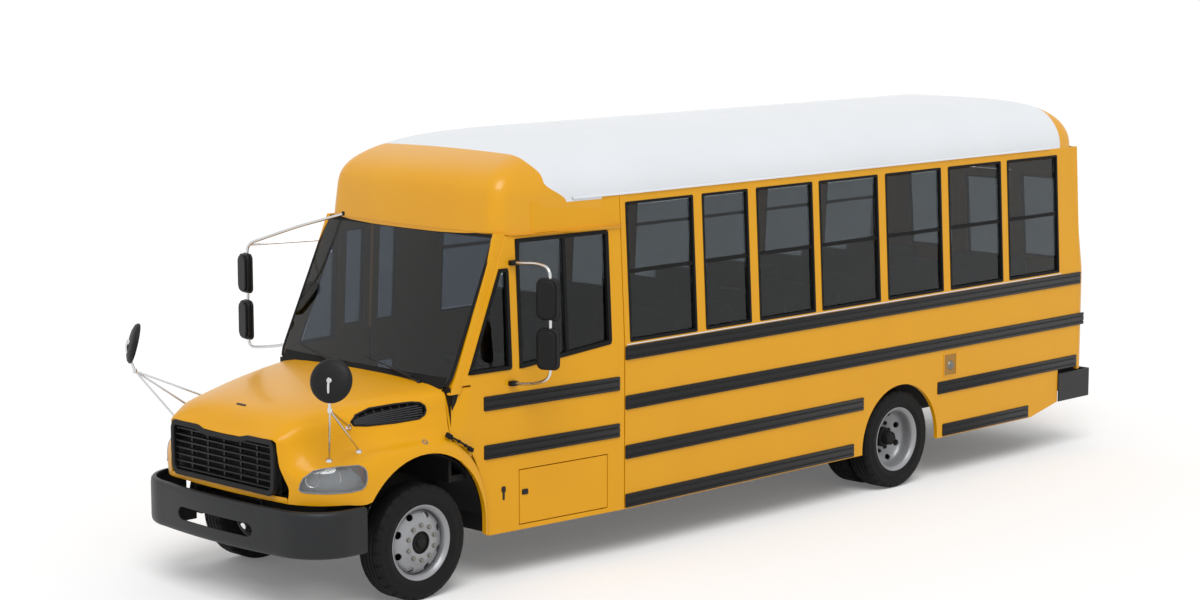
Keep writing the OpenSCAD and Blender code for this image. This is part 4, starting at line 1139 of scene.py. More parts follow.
lamp = dict(origin=(4.950, 0.840, 0), along=(-0.863, 0.504, 0), depth=0.085,
    outline=((0.012, 1.012), (0.022, 1.060), (0.045, 1.104), (0.119, 1.156), (0.200, 1.172), (0.330, 1.181),
    (0.475, 1.180), (0.520, 1.160), (0.541, 1.125), (0.542, 1.069), (0.528, 1.024), (0.500, 0.998),
    (0.410, 0.985), (0.213, 0.984), (0.060, 0.990), (0.028, 0.996)),
    bowls=((0.120, 1.072, 0.050), (0.270, 1.082, 0.070)), amber=(0.420, 0.535, 1.020, 1.150))
vent = dict(outline=((4.425, 1.475), (4.375, 1.522), (4.250, 1.560), (4.050, 1.574), (3.900, 1.578),
    (3.830, 1.568), (3.792, 1.540), (3.783, 1.505), (3.800, 1.470), (3.850, 1.446), (4.050, 1.436),
    (4.300, 1.436), (4.405, 1.448)), bars=6, ribs=9, depth=0.055)
# satin grey moulding behind the lens, with a slight metallic look
lampBezel = mottled("lampBezelMoulding", dict(deep="#7C7E81", light="#8C8E91", grain=3, depth=0.03,
    rough=(0.3, 0.42), metal=0.35))


def makeHood(user):
    bm = hoodSkin(user)
    lampPatch = cutOpening(bm, lamp["origin"], lamp["along"], (0, 0, 1), lamp["outline"])
    ventPatch = cutOpening(bm, (0, 0, 0), (1, 0, 0), (0, 0, 1), vent["outline"])
    mirrorCopy(bm)
    top = max(bm.faces, key=lambda f: f.calc_center_median().z)
    if top.normal.z < 0:
        bmesh.ops.reverse_faces(bm, faces=bm.faces)
    skin = BVHTree.FromBMesh(bm)
    piece("hoodShell", bm, busYellow, "hood", replaces=("hood",), wall=0.014, smooth=50)
    return skin, lampPatch, ventPatch


def makeLamps(user, patch):
    along = Vector(user["along"]).normalized()
    outward = Vector((0, 0, 1)).cross(along).normalized()
    outward = outward if outward.x > 0 else -outward
    origin = Vector(user["origin"])
    bm = trayFrom(patch, -outward * user["depth"])
    onBothSides(bm)
    piece("headlampHousings", bm, lampBezel, "hood", smooth=40, wall=0.003)
    bm = bmesh.new()
    addTube(bm, rimOf(patch), 0.005, steps=8)
    onBothSides(bm)
    piece("headlampRims", bm, lampBezel, "hood", smooth=40)
    bm = trayFrom(patch, -outward * 0.003, keepLid=True)
    onBothSides(bm)
    piece("headlampLenses", bm, lampClear, "hood", smooth=60, replaces=("headlamps",))
    face = Vector((0.72, 0.69, 0.0)).normalized()
    aim = face.to_track_quat("Z", "Y").to_matrix().to_4x4()
    bm = bmesh.new()
    bulbs = bmesh.new()
    for a, z, r in user["bowls"]:
        place = Matrix.Translation(origin + along * a + Vector((0, 0, z)) - outward * 0.030) @ aim
        addTurned(bm, ((0, -0.040), (r * 0.45, -0.036), (r * 0.75, -0.024), (r * 0.95, -0.006), (r, 0.0),
            (r * 1.08, 0.001), (r * 1.10, -0.004)), place, steps=40)
        addTurned(bulbs, ((0, 0.002), (r * 0.16, -0.001), (r * 0.2, -0.010), (r * 0.2, -0.036)), place,
            steps=20)
    onBothSides(bm)
    piece("headlampReflectors", bm, polishedTube, "hood", smooth=60)
    onBothSides(bulbs)
    piece("headlampBulbs", bulbs, lampClear, "hood", smooth=60)
    a0, a1, z0, z1 = user["amber"]
    bm = bmesh.new()
    turn = Matrix((tuple(along) + (0,), tuple(outward) + (0,), (0, 0, 1, 0), (0, 0, 0, 1))).transposed()
    addPlate(bm, rectangle(a0, a1, z0, z1), -0.062, -0.050, corner=0.02,
        matrix=Matrix.Translation(origin) @ turn)
    onBothSides(bm)
    piece("turnSignalLenses", bm, lampAmber, "hood", bevel=2 * mm)


def makeVents(user, patch):
    inward = Vector((0, -0.93, -0.36))
    bm = trayFrom(patch, inward * user["depth"])
    onBothSides(bm)
    piece("ventBoxes", bm, satinBlack, "hood", smooth=40, wall=0.002)
    bm = bmesh.new()
    addTube(bm, rimOf(patch), 0.009, steps=8)
    onBothSides(bm)
    piece("ventRims", bm, mouldedBlack, "hood", smooth=60)
    skin = BVHTree.FromBMesh(patch)
    bm = bmesh.new()
    xs = [p[0] for p in user["outline"]]
    x0, x1 = min(xs), max(xs)

    def strip(pairs, radius, sink):
        points = []
        for x, z in pairs:
            hit = skin.ray_cast(Vector((x, 2, z)), Vector((0, -1, 0)))[0]
            if hit:
                points.append(hit + inward * sink)
        if len(points) > 1:
            addTube(bm, points, radius, steps=6)

    # louvres run the length of the vent and fan out to the rear
    for k in range(1, user["bars"] + 1):
        t = k / (user["bars"] + 1)
        strip([(x, 1.436 * (1 - t) + t * (1.470 + 0.105 * math.sqrt((x1 - x) / (x1 - x0))))
            for x in (x0 + (x1 - x0) * i / 24 for i in range(25))], 0.006, 0.008)
    for k in range(1, user["ribs"]):
        x = x0 + (x1 - x0) * k / user["ribs"]
        strip([(x, 1.40 + 0.18 * i / 30) for i in range(31)], 0.004, 0.018)
    onBothSides(bm)
    # the louvres' grey is painted highlight that sets them off against the black box behind
    piece("ventLouvres", bm, ventLouvrePaintedHighlight, "hood", smooth=40)


hoodBvh, lampPatch, ventPatch = makeHood(hood)


# cowl sides: from the rear edge of the hood back to the flat side, down along the hood's seam
def makeCowl():
    edge = ((3.594, 0.985, 1.648), (3.594, 1.022, 1.585), (3.594, 1.050, 1.500), (3.594, 1.072, 1.400),
        (3.594, 1.088, 1.320), (3.592, 1.112, 1.262), (3.545, 1.118, 1.222), (3.480, 1.119, 1.177),
        (3.420, 1.119, 1.120), (3.384, 1.119, 1.073))
    bm = bmesh.new()
    rows = []
    for x, y, z in edge:
        y1 = sideY(3.370, z) + 0.0015
        rows.append([(x + (3.370 - x) * t, y + (y1 - y) * (3 * t * t - 2 * t ** 3), z)
            for t in (k / 8 for k in range(9))])
    addSkin(bm, rows)
    addSkin(bm, [rows[0], [(x - 0.01, y * 0.93, z + 0.012) for x, y, z in rows[0]],
        [(x - 0.02, y * 0.5, z + 0.02) for x, y, z in rows[0]]])
    bmesh.ops.remove_doubles(bm, verts=bm.verts, dist=0.2 * mm)
    bmesh.ops.recalc_face_normals(bm, faces=bm.faces)
    if max(bm.faces, key=lambda f: f.calc_center_median().y).normal.y < 0:
        bmesh.ops.reverse_faces(bm, faces=bm.faces)
    onBothSides(bm)
    piece("cowlPanels", bm, busYellow, "root", replaces=("cowl",), wall=0.010, smooth=50)
    bm = bmesh.new()
    addBox(bm, (3.400, -1.000, 1.610), (3.590, 1.000, 1.640), bevel=4 * mm)
    piece("cowlGrille", bm, mouldedBlack, "root")


makeCowl()
makeLamps(lamp, lampPatch)
makeVents(vent, ventPatch)
print("hood made")

# grille: black frame with a dip in its top edge, slats and upright bars, dark mesh behind
grille = dict(outline=((-0.610, 0.938), (0.610, 0.938), (0.655, 0.990), (0.664, 1.150), (0.662, 1.330),
    (0.625, 1.384), (0.320, 1.380), (0.200, 1.352), (-0.200, 1.352), (-0.320, 1.380), (-0.625, 1.384),
    (-0.662, 1.330), (-0.664, 1.150), (-0.655, 0.990)), frame=0.042, slats=7,
    bars=(-0.42, -0.21, 0.0, 0.21, 0.42))


def makeGrille(user):
    face = Matrix(((0, 1, 0, 0), (1, 0, 0, 0), (0, 0, 1, 0), (0, 0, 0, 1)))
    bm = bmesh.new()
    addPlate(bm, user["outline"], 4.992, 5.040, corner=0.022, frameWidth=user["frame"], matrix=face, steps=4)
    piece("grilleFrame", bm, mouldedBlack, "hood", bevel=5 * mm, smooth=40,
        replaces=("grille",))
    bm = bmesh.new()
    for k in range(user["slats"]):
        z = 0.975 + (k + 0.5) * 0.375 / user["slats"]
        half = 0.64 if z < 1.32 else 0.60
        lean4 = Matrix.Translation((5.012, 0, z)) @ Matrix.Rotation(math.radians(14), 4, "Y")
        addBox(bm, (-0.016, -half, -0.0065), (0.014, half, 0.0065), lean4, bevel=3 * mm, segments=2)
    for y in user["bars"]:
        top = 1.36 if abs(y) < 0.25 else 1.375
        addBox(bm, (4.990, y - 0.011, 0.95), (5.008, y + 0.011, top), bevel=3 * mm)
    piece("grilleSlats", bm, satinBlack, "hood", smooth=35)
    bm = bmesh.new()
    addBox(bm, (4.958, -0.66, 0.94), (4.962, 0.66, 1.375))
    piece("grilleBacking", bm, sealRubber, "hood")


makeGrille(grille)


def hoodAt(x, z):
    return hoodBvh.ray_cast(Vector((x, 2, z)), Vector((0, -1, 0)))[:2]


# small fittings on the hood: top slot, side marker, rubber draw latch
def makeHoodFittings():
    bm = bmesh.new()
    hit, normal = hoodBvh.ray_cast(Vector((4.83, 0, 2)), Vector((0, 0, -1)))[:2]
    lay = Matrix.Translation(hit) @ normal.to_track_quat("Z", "Y").to_matrix().to_4x4()
    stand = lay @ Matrix.Rotation(math.radians(90), 4, "X")
    addPlate(bm, rectangle(-0.060, 0.060, -0.011, 0.011), -0.004, 0.004, corner=0.0108, matrix=stand, steps=6)
    piece("hoodTopSlot", bm, satinBlack, "hood", bevel=1 * mm)
    lens, ring = bmesh.new(), bmesh.new()
    hit, normal = hoodAt(3.876, 1.273)
    place = Matrix.Translation(hit) @ normal.to_track_quat("Z", "Y").to_matrix().to_4x4()
    addTurned(lens, ((0, 0.012), (0.010, 0.011), (0.017, 0.008), (0.020, 0.003), (0.020, -0.001)), place,
        steps=32)
    addTurned(ring, ((0.020, 0.0), (0.021, 0.005), (0.025, 0.005), (0.027, 0.001), (0.027, -0.003)), place,
        steps=32)
    for bm, name, finish in ((lens, "sideMarkerLenses", lampClear), (ring, "sideMarkerRings", lampBezel)):
        onBothSides(bm)
        piece(name, bm, finish, "hood", smooth=60)
    latch = bmesh.new()
    ends = [Vector((3.640, 1.128, 1.292)), Vector((3.545, 1.140, 1.236)), Vector((3.470, 1.136, 1.190)),
        Vector((3.405, 1.122, 1.150))]
    for at, (long, high) in zip(ends, ((0.034, 0.020), (0.012, 0.013), (0.012, 0.013), (0.030, 0.018))):
        pose = Matrix.Translation(at + Vector((0, 0.006, 0))) @ Matrix.Rotation(math.radians(-31), 4, "Y")
        addBox(latch, (-long, -0.014, -high), (long, 0.012, high), pose, bevel=6 * mm, segments=3)
    addTube(latch, [p + Vector((0, 0.010, 0)) for p in ends], 0.009, steps=10)
    onBothSides(latch)
    piece("hoodLatches", latch, sealRubber, "hood", smooth=50)


makeHoodFittings()


# black moulded liner over each front wheel
def makeLiners():
    bm = bmesh.new()
    rows = []
    for k in range(25):
        a = math.radians(4 + 172 * k / 24)
        x, z = 3.910 + 0.628 * math.cos(a), 0.550 + 0.628 * math.sin(a)
        rows.append([(x, y, z) for y in (0.640, 0.80, 0.96, 1.120)])
    addSkin(bm, rows)
    bmesh.ops.recalc_face_normals(bm, faces=bm.faces)
    if sum(f.normal.z for f in bm.faces) < 0:
        bmesh.ops.reverse_faces(bm, faces=bm.faces)
    onBothSides(bm)
    piece("wheelArchLiners", bm, mouldedBlack, "hood", wall=0.004, smooth=60)


makeLiners()
print("hood fittings made")


# passenger benches: foam cushions and backs in sewn vinyl, tight and crowned, with a piped edge
bench = dict(rows=8, first=1.480, pitch=0.735, cushion=((-0.404, 0.225, 1.311), (0.004, 1.155, 1.432)),
    back=((-0.492, 0.225, 1.290), (-0.400, 1.155, 2.012)), piping=0.005)


def addCushion(bm, lo, hi, thin, cuts=(10, 22), seam=None, roundness=0.35, pinch=0.012):
    # thin is the axis of the crown; the sides pull in between the corners and a sewn channel dips across
    part = bmesh.new()
    bmesh.ops.create_cube(part, size=2)
    bmesh.ops.subdivide_edges(part, edges=part.edges[:], cuts=cuts[0], use_grid_fill=True)
    lo, hi = Vector(lo), Vector(hi)
    centre, half = (lo + hi) / 2, (hi - lo) / 2
    wide = [i for i in range(3) if i != thin]
    for v in part.verts:
        u = v.co.copy()
        a, b = u[wide[0]], u[wide[1]]
        rim = max(abs(a), abs(b))
        depth = 1 - roundness * rim ** 8 - 0.10 * rim ** 2
        if seam is not None:
            depth -= 0.10 * math.exp(-((b - seam) / 0.05) ** 2)
        w = u[thin] * depth
        u[wide[0]] = a * (1 - 0.05 * b ** 8 - 0.03 * abs(u[thin]) ** 4) - math.copysign(pinch * (1 - b * b),
            a) * (abs(a) > 0.9)
        u[wide[1]] = b * (1 - 0.05 * a ** 8 - 0.03 * abs(u[thin]) ** 4) - math.copysign(pinch * (1 - a * a),
            b) * (abs(b) > 0.9)
        u[thin] = w
        v.co = Vector(centre[i] + half[i] * u[i] for i in range(3))
    merge(bm, part)


def addPiping(bm, lo, hi, thin, radius):
    lo, hi = Vector(lo), Vector(hi)
    wide = [i for i in range(3) if i != thin]
    for level in (0.2, 0.8):
        ring = []
        for a, b in ((0, 0), (1, 0), (1, 1), (0, 1)):
            p = Vector((0, 0, 0))
            p[thin] = lo[thin] + (hi[thin] - lo[thin]) * level
            p[wide[0]] = (hi if a else lo)[wide[0]] + (-1 if a else 1) * 0.006
            p[wide[1]] = (hi if b else lo)[wide[1]] + (-1 if b else 1) * 0.006
            ring.append(p)
        addTube(bm, [ring[0].lerp(ring[1], 0.5)] + ring[1:] + [ring[0], ring[0].lerp(ring[1], 0.5)], radius,
            bend=0.045, steps=6)


def makeBenches(user):
    backs, seats, welts = bmesh.new(), bmesh.new(), bmesh.new()
    for row in range(user["rows"]):
        x = user["first"] - row * user["pitch"]
        for side in (1, -1):
            for box, thin, bm, seam in ((user["cushion"], 2, seats, None), (user["back"], 0, backs, 0.45)):
                (x0, y0, z0), (x1, y1, z1) = box
                if side < 0:
                    y0, y1 = -y1, -y0
                lo, hi = (x + x0, y0, z0), (x + x1, y1, z1)
                addCushion(bm, lo, hi, thin, cuts=(14, 14), seam=seam)
                addPiping(welts, lo, hi, thin, user["piping"])
    for bm, name, fill in ((seats, "benchCushions", 0.85), (backs, "benchBacks", 0.8)):
        obj = piece(name, bm, seatVinyl, "root", smooth=60,
            replaces=("passenger_seats",) if name == "benchCushions" else ())
    piece("benchPiping", welts, seatVinyl, "root", smooth=60)


makeBenches(bench)


def makeDriverSeat():
    parts = ((((2.240, 0.270, 1.345), (2.700, 0.700, 1.462)), 2, None),
        (((2.150, 0.280, 1.450), (2.262, 0.690, 2.080)), 0, 0.5))
    bm, welts = bmesh.new(), bmesh.new()
    for (lo, hi), thin, seam in parts:
        addCushion(bm, lo, hi, thin, cuts=(16, 16), seam=seam, roundness=0.45, pinch=0.03)
        addPiping(welts, lo, hi, thin, 0.004)
    seat = piece("driverSeatCushions", bm, seatVinyl, "root", smooth=60,
        replaces=("driver_seat",))
    piece("driverSeatPiping", welts, seatVinyl, "root", smooth=60)
    bm = bmesh.new()
    addBox(bm, (2.300, 0.320, 0.942), (2.600, 0.650, 0.985), bevel=8 * mm)
    addTurned(bm, ((0.060, 0.35), (0.062, 0.24), (0.085, 0.20), (0.085, 0.0)),
        Matrix.Translation((2.45, 0.485, 0.985)), steps=32)
    addBox(bm, (2.280, 0.310, 1.310), (2.640, 0.660, 1.348), bevel=6 * mm)
    piece("driverSeatBase", bm, seatSteel, "root", smooth=40)


makeDriverSeat()
print("seats made")


# a pane's faces lie between these depths inside its leaf
paneDepths = (0.0155, 0.0245)


# doors: painted leaves with their panes split off, and rubber round each pane
def splitPanes(node, depthOf, name, rider):
    leaf, panes = copyNode(node), copyNode(node)
    for bm, keepPane in ((leaf, False), (panes, True)):
        gone = [f for f in bm.faces
            if all(paneDepths[0] < depthOf(v.co) < paneDepths[1] for v in f.verts) != keepPane]
        bmesh.ops.delete(bm, geom=gone, context="FACES")
        loose = [v for v in bm.verts if not v.link_faces]
        bmesh.ops.delete(bm, geom=loose, context="VERTS")
    piece(name + "Leaf", leaf, busYellow, rider, replaces=(node,), bevel=2.5 * mm, smooth=30)
    if panes.faces:
        piece(name + "Panes", panes, tintedGlass, rider)


doors = dict(leaves=(("entrance_door_front", "entrance_front", 0.840, 1.212),
    ("entrance_door_rear", "entrance_rear", 0.438, 0.810)), panes=((0.620, 1.500), (1.850, 2.700)), inset=0.070,
    seal=0.022)
sideFrame = toRight @ frontSide
rearLean = (body["tailTopX"] - body["tailX"]) / (body["eaveZ"] - body["beltZ"])
# rear wall frame: x to the left of the bus, y outwards, z up, leaning in above the belt
onRearLow = Matrix(((0, -1, 0, body["tailX"]), (1, 0, 0, 0), (0, 0, 1, 0), (0, 0, 0, 1)))
onRearHigh = Matrix(((0, -1, rearLean, body["tailX"] - rearLean * body["beltZ"]), (1, 0, 0, 0), (0, 0, 1, 0),
    (0, 0, 0, 1)))


def makeDoors(user):
    back = sideFrame.inverted()

    def sideDepth(p):
        q = back @ p
        return body["wallY"] - q.y - max(q.z - body["beltZ"], 0) * lean

    def rearDepth(p):
        return p.x - body["tailX"] - max(p.z - body["beltZ"], 0) * rearLean

    for node, rider, s0, s1 in user["leaves"]:
        splitPanes(node, sideDepth, rider.replace("_f", "F").replace("_r", "R"), rider)
        bm = bmesh.new()
        for z0, z1 in user["panes"]:
            lay = sideFrame @ (onWall if z0 > body["beltZ"] else onSide)
            lap = 0.006
            addPlate(bm, rectangle(s0 + user["inset"] - lap, s1 - user["inset"] + lap, z0 - lap, z1 + lap),
                -0.030, 0.003, corner=0.030, frameWidth=user["seal"], matrix=lay)
        # soft edge down the middle of the entrance
        edge0, edge1 = (s0 - 0.010, s0 + 0.004) if s0 > 0.8 else (s1 - 0.004, s1 + 0.010)
        addPlate(bm, rectangle(edge0, edge1, 0.440, 1.800), -0.030, -0.004, matrix=sideFrame @ onSide)
        piece(rider.replace("_f", "F").replace("_r", "R") + "Seals", bm, sealRubber, rider,
            bevel=2 * mm)
    splitPanes("rear_door", rearDepth, "rearDoor", "rear_door")
    bm = bmesh.new()
    addPlate(bm, rectangle(-0.266, 0.266, 1.094, 1.656), -0.030, 0.004, corner=0.035, frameWidth=0.026,
        matrix=onRearLow)
    addPlate(bm, rectangle(-0.266, 0.266, 1.854, 2.706), -0.030, 0.004, corner=0.035, frameWidth=0.026,
        matrix=onRearHigh)
    piece("rearDoorSeals", bm, sealRubber, "rear_door", bevel=2 * mm)
    bm = bmesh.new()
    for side in (1, -1):
        y0, y1 = sorted((side * 0.444, side * 1.026))
        addPlate(bm, rectangle(y0, y1, 1.894, 2.756), -0.030, 0.004, corner=0.035, frameWidth=0.026,
            matrix=onRearHigh)
    piece("rearWindowSeals", bm, sealRubber, "root", bevel=2 * mm)
    bm = bmesh.new()
    addBox(bm, (-5.086, -0.300, 1.720), (-5.068, -0.160, 1.790), bevel=6 * mm)
    addTube(bm, ((-5.080, -0.275, 1.755), (-5.118, -0.275, 1.755), (-5.118, -0.170, 1.755),
        (-5.080, -0.170, 1.755)), 0.008, bend=0.02)
    piece("rearDoorHandle", bm, satinBlack, "rear_door", smooth=40)
    bm = copyNode("battery_hatch")
    piece("batteryHatchPanel", bm, busYellow, "battery_hatch", replaces=("battery_hatch",),
        bevel=3 * mm, smooth=30)
    bm = bmesh.new()
    addPlate(bm, rectangle(1.070, 1.135, 0.690, 0.735), -0.004, 0.007, corner=0.010, matrix=frontSide @ onSide)
    piece("batteryHatchLatch", bm, satinBlack, "battery_hatch", bevel=2 * mm)


makeDoors(doors)
print("doors made")

# tail lamps: domed acrylic lenses in black rings
tail = dict(lamps=((0.780, 1.520, 0.095, "red"), (0.780, 1.760, 0.070, "amber"),
    (1.040, 1.520, 0.070, "clear")))


def makeTail(user):
    rings = bmesh.new()
    finish = dict(red=(lampRed, "lamp_red"), amber=(lampAmber, "lamp_red"), clear=(lampClear, "lamp_clear"))
    backs = bmesh.new()
    for y, z, r, colour in user["lamps"]:
        lens = bmesh.new()
        for side in (1, -1):
            place = Matrix.Translation((body["tailX"], side * y, z)) @ Matrix.Rotation(math.radians(-90), 4,
                "Y")
            inner = r - 0.009
            addTurned(lens, ((0, 0.026), (inner * 0.4, 0.0255), (inner * 0.8, 0.022), (inner * 0.96, 0.016),
                (inner, 0.006), (inner, 0.002)), place, steps=48)
            addTurned(backs, ((0, 0.004), (inner * 0.5, 0.003), (inner * 0.98, 0.005)), place, steps=48)
            addTurned(rings, ((inner, 0.008), (inner + 0.002, 0.014), (r - 0.002, 0.012), (r, 0.004), (r, 0.0)),
                place, steps=48)
        material, slotName = finish[colour]
        piece("tailLens_" + colour, lens, material, "root", smooth=60,
            replaces=("tail_lamps",) if colour == "red" else ())
    piece("tailLampRings", rings, sealRubber, "root", smooth=40)
    piece("tailLampReflectors", backs, polishedTube, "root", smooth=60)
    # blank plate on the four screws
    bm = bmesh.new()
    addPlate(bm, rectangle(0.548, 0.852, 1.114, 1.266), 0.001, 0.003, corner=0.010, matrix=onRearLow)
    piece("blankPlate", bm, busWhite, "root", bevel=0.5 * mm)
    bm = bmesh.new()
    for dy in (-0.0889, 0.0889):
        for dz in (-0.060325, 0.060325):
            place = Matrix.Translation((body["tailX"] - 0.003, 0.700 + dy,
                1.190 + dz)) @ Matrix.Rotation(math.radians(-90), 4, "Y")
            addTurned(bm, ((0, 0.004), (0.004, 0.004), (0.006, 0.002), (0.006, 0.0)), place, steps=16)
    piece("plateScrews", bm, bareSteel, "root", smooth=40)


makeTail(tail)

# outside mirrors: polished tube arms, black moulded heads in pairs, silvered glass facing the driver
mirror = dict(left=(2.905, 1.500), right=(3.625, -1.495), levels=(1.945, 2.350), high=0.172, wide=0.098,
    deep=0.042)


def addHead(shell, glass, x, y, z, user, turn):
    pose = Matrix.Translation((x, y, z)) @ Matrix.Rotation(turn, 4, "Z")
    w, h, d = user["wide"], user["high"], user["deep"]
    stand = Matrix(((0, 1, 0, 0), (1, 0, 0, 0), (0, 0, 1, 0), (0, 0, 0, 1)))
    addPlate(shell, rectangle(-w, w, -h, h), -d, -d + 0.022, corner=0.052, matrix=pose @ stand, steps=6)
    addPlate(shell, rectangle(-w * 0.95, w * 0.95, -h * 0.97, h * 0.97), -d + 0.020, 0.012, corner=0.055,
        matrix=pose @ stand, steps=6)
    addPlate(shell, rectangle(-w * 0.80, w * 0.80, -h * 0.90, h * 0.90), 0.010, 0.030, corner=0.060,
        matrix=pose @ stand, steps=6)
    addPlate(glass, rectangle(-w * 0.90, w * 0.90, -h * 0.94, h * 0.94), -d - 0.0015, -d + 0.001, corner=0.034,
        matrix=pose @ stand, steps=6)


def makeMirrors(user):
    shells, glass = bmesh.new(), bmesh.new()
    for (x, y), turn in ((user["left"], math.radians(24)), (user["right"], math.radians(-14))):
        for z in user["levels"]:
            addHead(shells, glass, x, y, z, user, turn)
    piece("mirrorHeads", shells, mouldedBlack, "root", bevel=9 * mm, smooth=60,
        replaces=("side_mirrors",))
    piece("mirrorGlasses", glass, mirrorGlass, "root", bevel=0.5 * mm)
    arms, feet = bmesh.new(), bmesh.new()
    addTube(arms, ((2.900, 1.140, 2.612), (2.860, 1.330, 2.625), (2.870, 1.500, 2.600), (2.870, 1.500, 1.700),
        (2.900, 1.330, 1.640), (2.950, 1.140, 1.632)), 0.013, bend=0.09, steps=14)
    addTube(arms, ((3.045, -0.830, 2.872), (3.300, -1.140, 2.760), (3.585, -1.500, 2.600),
        (3.585, -1.500, 1.700), (3.520, -1.300, 1.720), (3.450, -1.095, 1.760)), 0.013, bend=0.07, steps=14)
    addTube(arms, ((3.010, -1.120, 2.620), (3.585, -1.500, 2.590)), 0.009, steps=12)
    piece("mirrorArms", arms, polishedTube, "root", smooth=60)
    for x, z in ((2.905, 2.612), (2.950, 1.632)):
        addBox(feet, (-0.036, -0.004, -0.020), (0.036, 0.052, 0.020),
            Matrix.Translation((x, sideY(x, z) - 0.002, z)), bevel=8 * mm, segments=3)
    for x, y, z in ((3.052, -0.830, 2.872), (3.012, -1.125, 2.620), (3.452, -1.095, 1.760)):
        addBox(feet, (x - 0.030, y - 0.020, z - 0.020), (x + 0.018, y + 0.024, z + 0.020), bevel=7 * mm,
            segments=3)
    piece("mirrorFeet", feet, mouldedBlack, "root", smooth=50)


makeMirrors(mirror)

# convex cross-view mirrors on three-legged tubes from the hood
cross = dict(head=(4.960, 1.270, 1.920), r=0.168, axis=(0.836, 0.483, 0.259), node=(4.955, 1.250, 1.690),
    feet=((4.720, 0.955, 1.269), (4.450, 0.862, 1.435), (4.440, 0.965, 1.244)))


def makeCross(user):
    shells, glass, tubes, feet = bmesh.new(), bmesh.new(), bmesh.new(), bmesh.new()
    axis = Vector(user["axis"]).normalized()
    place = Matrix.Translation(user["head"]) @ axis.to_track_quat("Z", "Y").to_matrix().to_4x4()
    r = user["r"]
    addTurned(shells, ((0, 0.030), (r * 0.35, 0.029), (r * 0.7, 0.022), (r * 0.92, 0.008), (r, -0.008),
        (r * 1.01, -0.018), (r * 0.985, -0.026), (r * 0.96, -0.022)), place, steps=64)
    addTurned(glass, ((0, -0.032), (r * 0.5, -0.030), (r * 0.85, -0.026), (r * 0.965, -0.023)), place, steps=64)
    onBothSides(shells)
    onBothSides(glass)
    piece("crossViewShells", shells, mouldedBlack, "hood", smooth=60,
        replaces=("crossview_mirrors",))
    piece("crossViewGlasses", glass, mirrorGlass, "hood", smooth=60)
    head = Vector(user["head"]) + axis * 0.035
    knot = Vector(user["node"])
    addTube(tubes, (head + Vector((0, 0, 0.02)), head + axis * 0.02 + Vector((0, 0, -0.06)), knot), 0.011,
        bend=0.05, steps=12)
    for foot in user["feet"]:
        hit, normal = hoodBvh.find_nearest(Vector(foot))[:2]
        addTube(tubes, (knot, hit + normal * 0.014), 0.009, steps=12)
        stand = Matrix.Translation(hit) @ normal.to_track_quat("Z", "Y").to_matrix().to_4x4()
        addTurned(feet, ((0, 0.018), (0.012, 0.017), (0.016, 0.008), (0.026, 0.004), (0.027, -0.002)), stand,
            steps=24)
    addTurned(feet, ((0, 0.022), (0.016, 0.018), (0.020, 0.0), (0.016, -0.018), (0, -0.022)),
        Matrix.Translation(knot), steps=24)
    addTurned(feet, ((0, 0.020), (0.018, 0.016), (0.024, 0.0), (0.024, -0.012)),
        Matrix.Translation(Vector(user["head"]) + axis * 0.026) @ axis.to_track_quat("Z",
        "Y").to_matrix().to_4x4(), steps=24)
    for bm, name in ((tubes, "crossViewLegs"), (feet, "crossViewFeet")):
        onBothSides(bm)
        piece(name, bm, polishedTube, "hood", smooth=60)


makeCross(cross)
print("mirrors made")

# front bumper: one pressed bar bowed across the front and wrapped round both corners, with a long slot
bumper = dict(front=5.138, bow=0.120, half=1.170, corner=0.45, rear=4.530, foot=0.490, top=0.862,
    slot=((-0.480, 0.655), (-0.462, 0.620), (-0.425, 0.603), (0.425, 0.603), (0.462, 0.620), (0.480, 0.655),
    (0.462, 0.694), (0.425, 0.710), (-0.425, 0.710), (-0.462, 0.694)))


def bumperPlan(user):
    r, flat = user["corner"], user["half"] - user["corner"]
    points = [(user["front"] - user["bow"] * (flat * t / user["half"]) ** 2, flat * t)
        for t in (k / 12 for k in range(13))]
    x0 = points[-1][0]
    points += [(x0 - r * 0.9 * (1 - math.cos(a)), flat + r * math.sin(a))
        for a in (math.radians(9 * k) for k in range(1, 11))]
    x1 = points[-1][0]
    points += [(x1 + (user["rear"] - x1) * k / 4, user["half"]) for k in range(1, 5)]
    return points


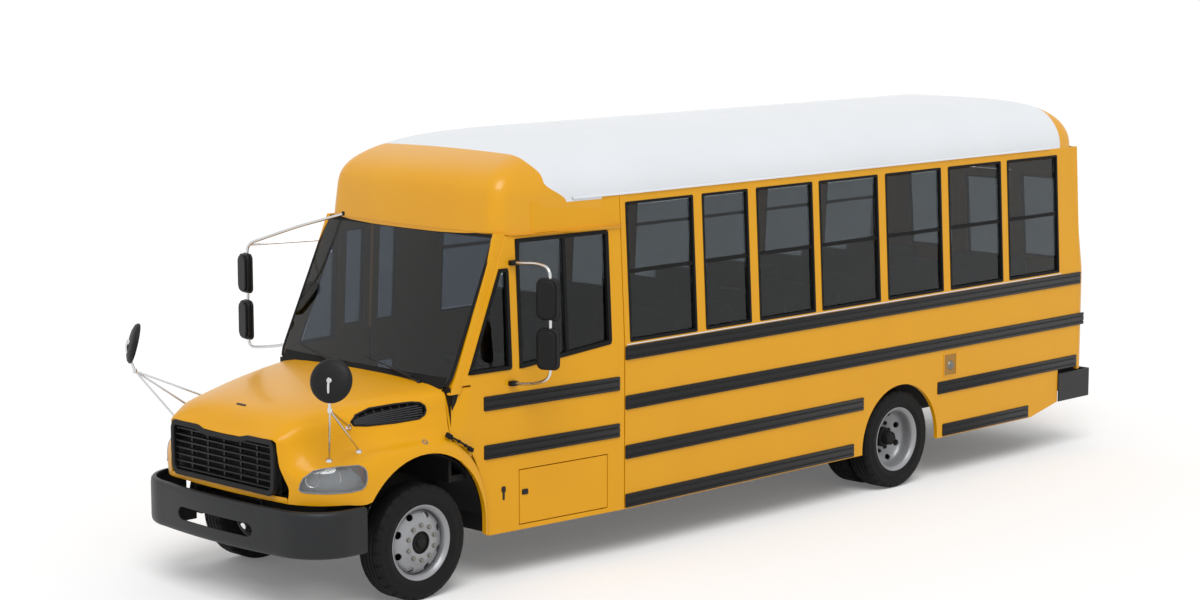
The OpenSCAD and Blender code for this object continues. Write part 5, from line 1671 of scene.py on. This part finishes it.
def makeBumpers(user):
    plan = bumperPlan(user)
    bm = bmesh.new()
    foot, top = user["foot"], user["top"]
    rows = []
    for z, back in ((foot, 0.045), (foot + 0.004, 0.016), (foot + 0.018, 0.004), (foot + 0.05, 0.0),
            (0.60, 0.0), (0.71, 0.0), (top - 0.05, 0.0), (top - 0.018, 0.004), (top - 0.004, 0.016),
            (top, 0.045)):
        row = []
        for k, (x, y) in enumerate(plan):
            before, after = plan[max(k - 1, 0)], plan[min(k + 1, len(plan) - 1)]
            tangent = Vector((after[0] - before[0], after[1] - before[1], 0)).normalized()
            normal = Vector((tangent.y, -tangent.x, 0))
            if normal.x < -0.01 or (abs(normal.x) < 0.01 and normal.y < 0):
                normal.negate()
            row.append(Vector((x, y, z)) - normal * back)
        rows.append(row)
    addSkin(bm, rows)
    mirrorCopy(bm)
    bmesh.ops.recalc_face_normals(bm, faces=bm.faces)
    ahead = max(bm.faces, key=lambda f: f.calc_center_median().x)
    if ahead.normal.x < 0:
        bmesh.ops.reverse_faces(bm, faces=bm.faces)
    cutOpening(bm, (5.1, 0, 0), (0, 1, 0), (0, 0, 1), user["slot"], reach=0.12).free()
    piece("frontBumperBar", bm, bumperPaint, "root", wall=0.012, smooth=45,
        replaces=("front_bumper",))
    bm = bmesh.new()
    for side in (1, -1):
        addBox(bm, (4.900, side * 0.56 - 0.04, 0.560), (5.085, side * 0.56 + 0.04, 0.800), bevel=4 * mm)
    piece("frontBumperBrackets", bm, chassisBlack, "root")
    easedNode("rear_bumper", "rearBumperBar", bumperPaint, "root", edge=8 * mm, smooth=40)


makeBumpers(bumper)
print("bumpers made")

# finishes of the pieces that keep their plain form
for node, finish in dict(frame_rails=chassisBlack, crossmembers=chassisBlack, front_axle=chassisBlack,
        rear_axle=castIron, leaf_springs=chassisBlack, driveshaft=bareSteel, engine_block=castIron,
        radiator=satinBlack, fuel_tank=chassisBlack, exhaust=bareSteel, battery_box=chassisBlack,
        floor=floorRubber, wheel_housings=floorRubber, entry_steps=floorRubber, knuckle_left=castIron,
        knuckle_right=castIron, tie_rod=bareSteel, steering_wheel=mouldedBlack, dashboard=mouldedBlack,
        seat_frames=seatSteel).items():
    nodes[node].data.materials.clear()
    nodes[node].data.materials.append(finish)
print("finishes set")
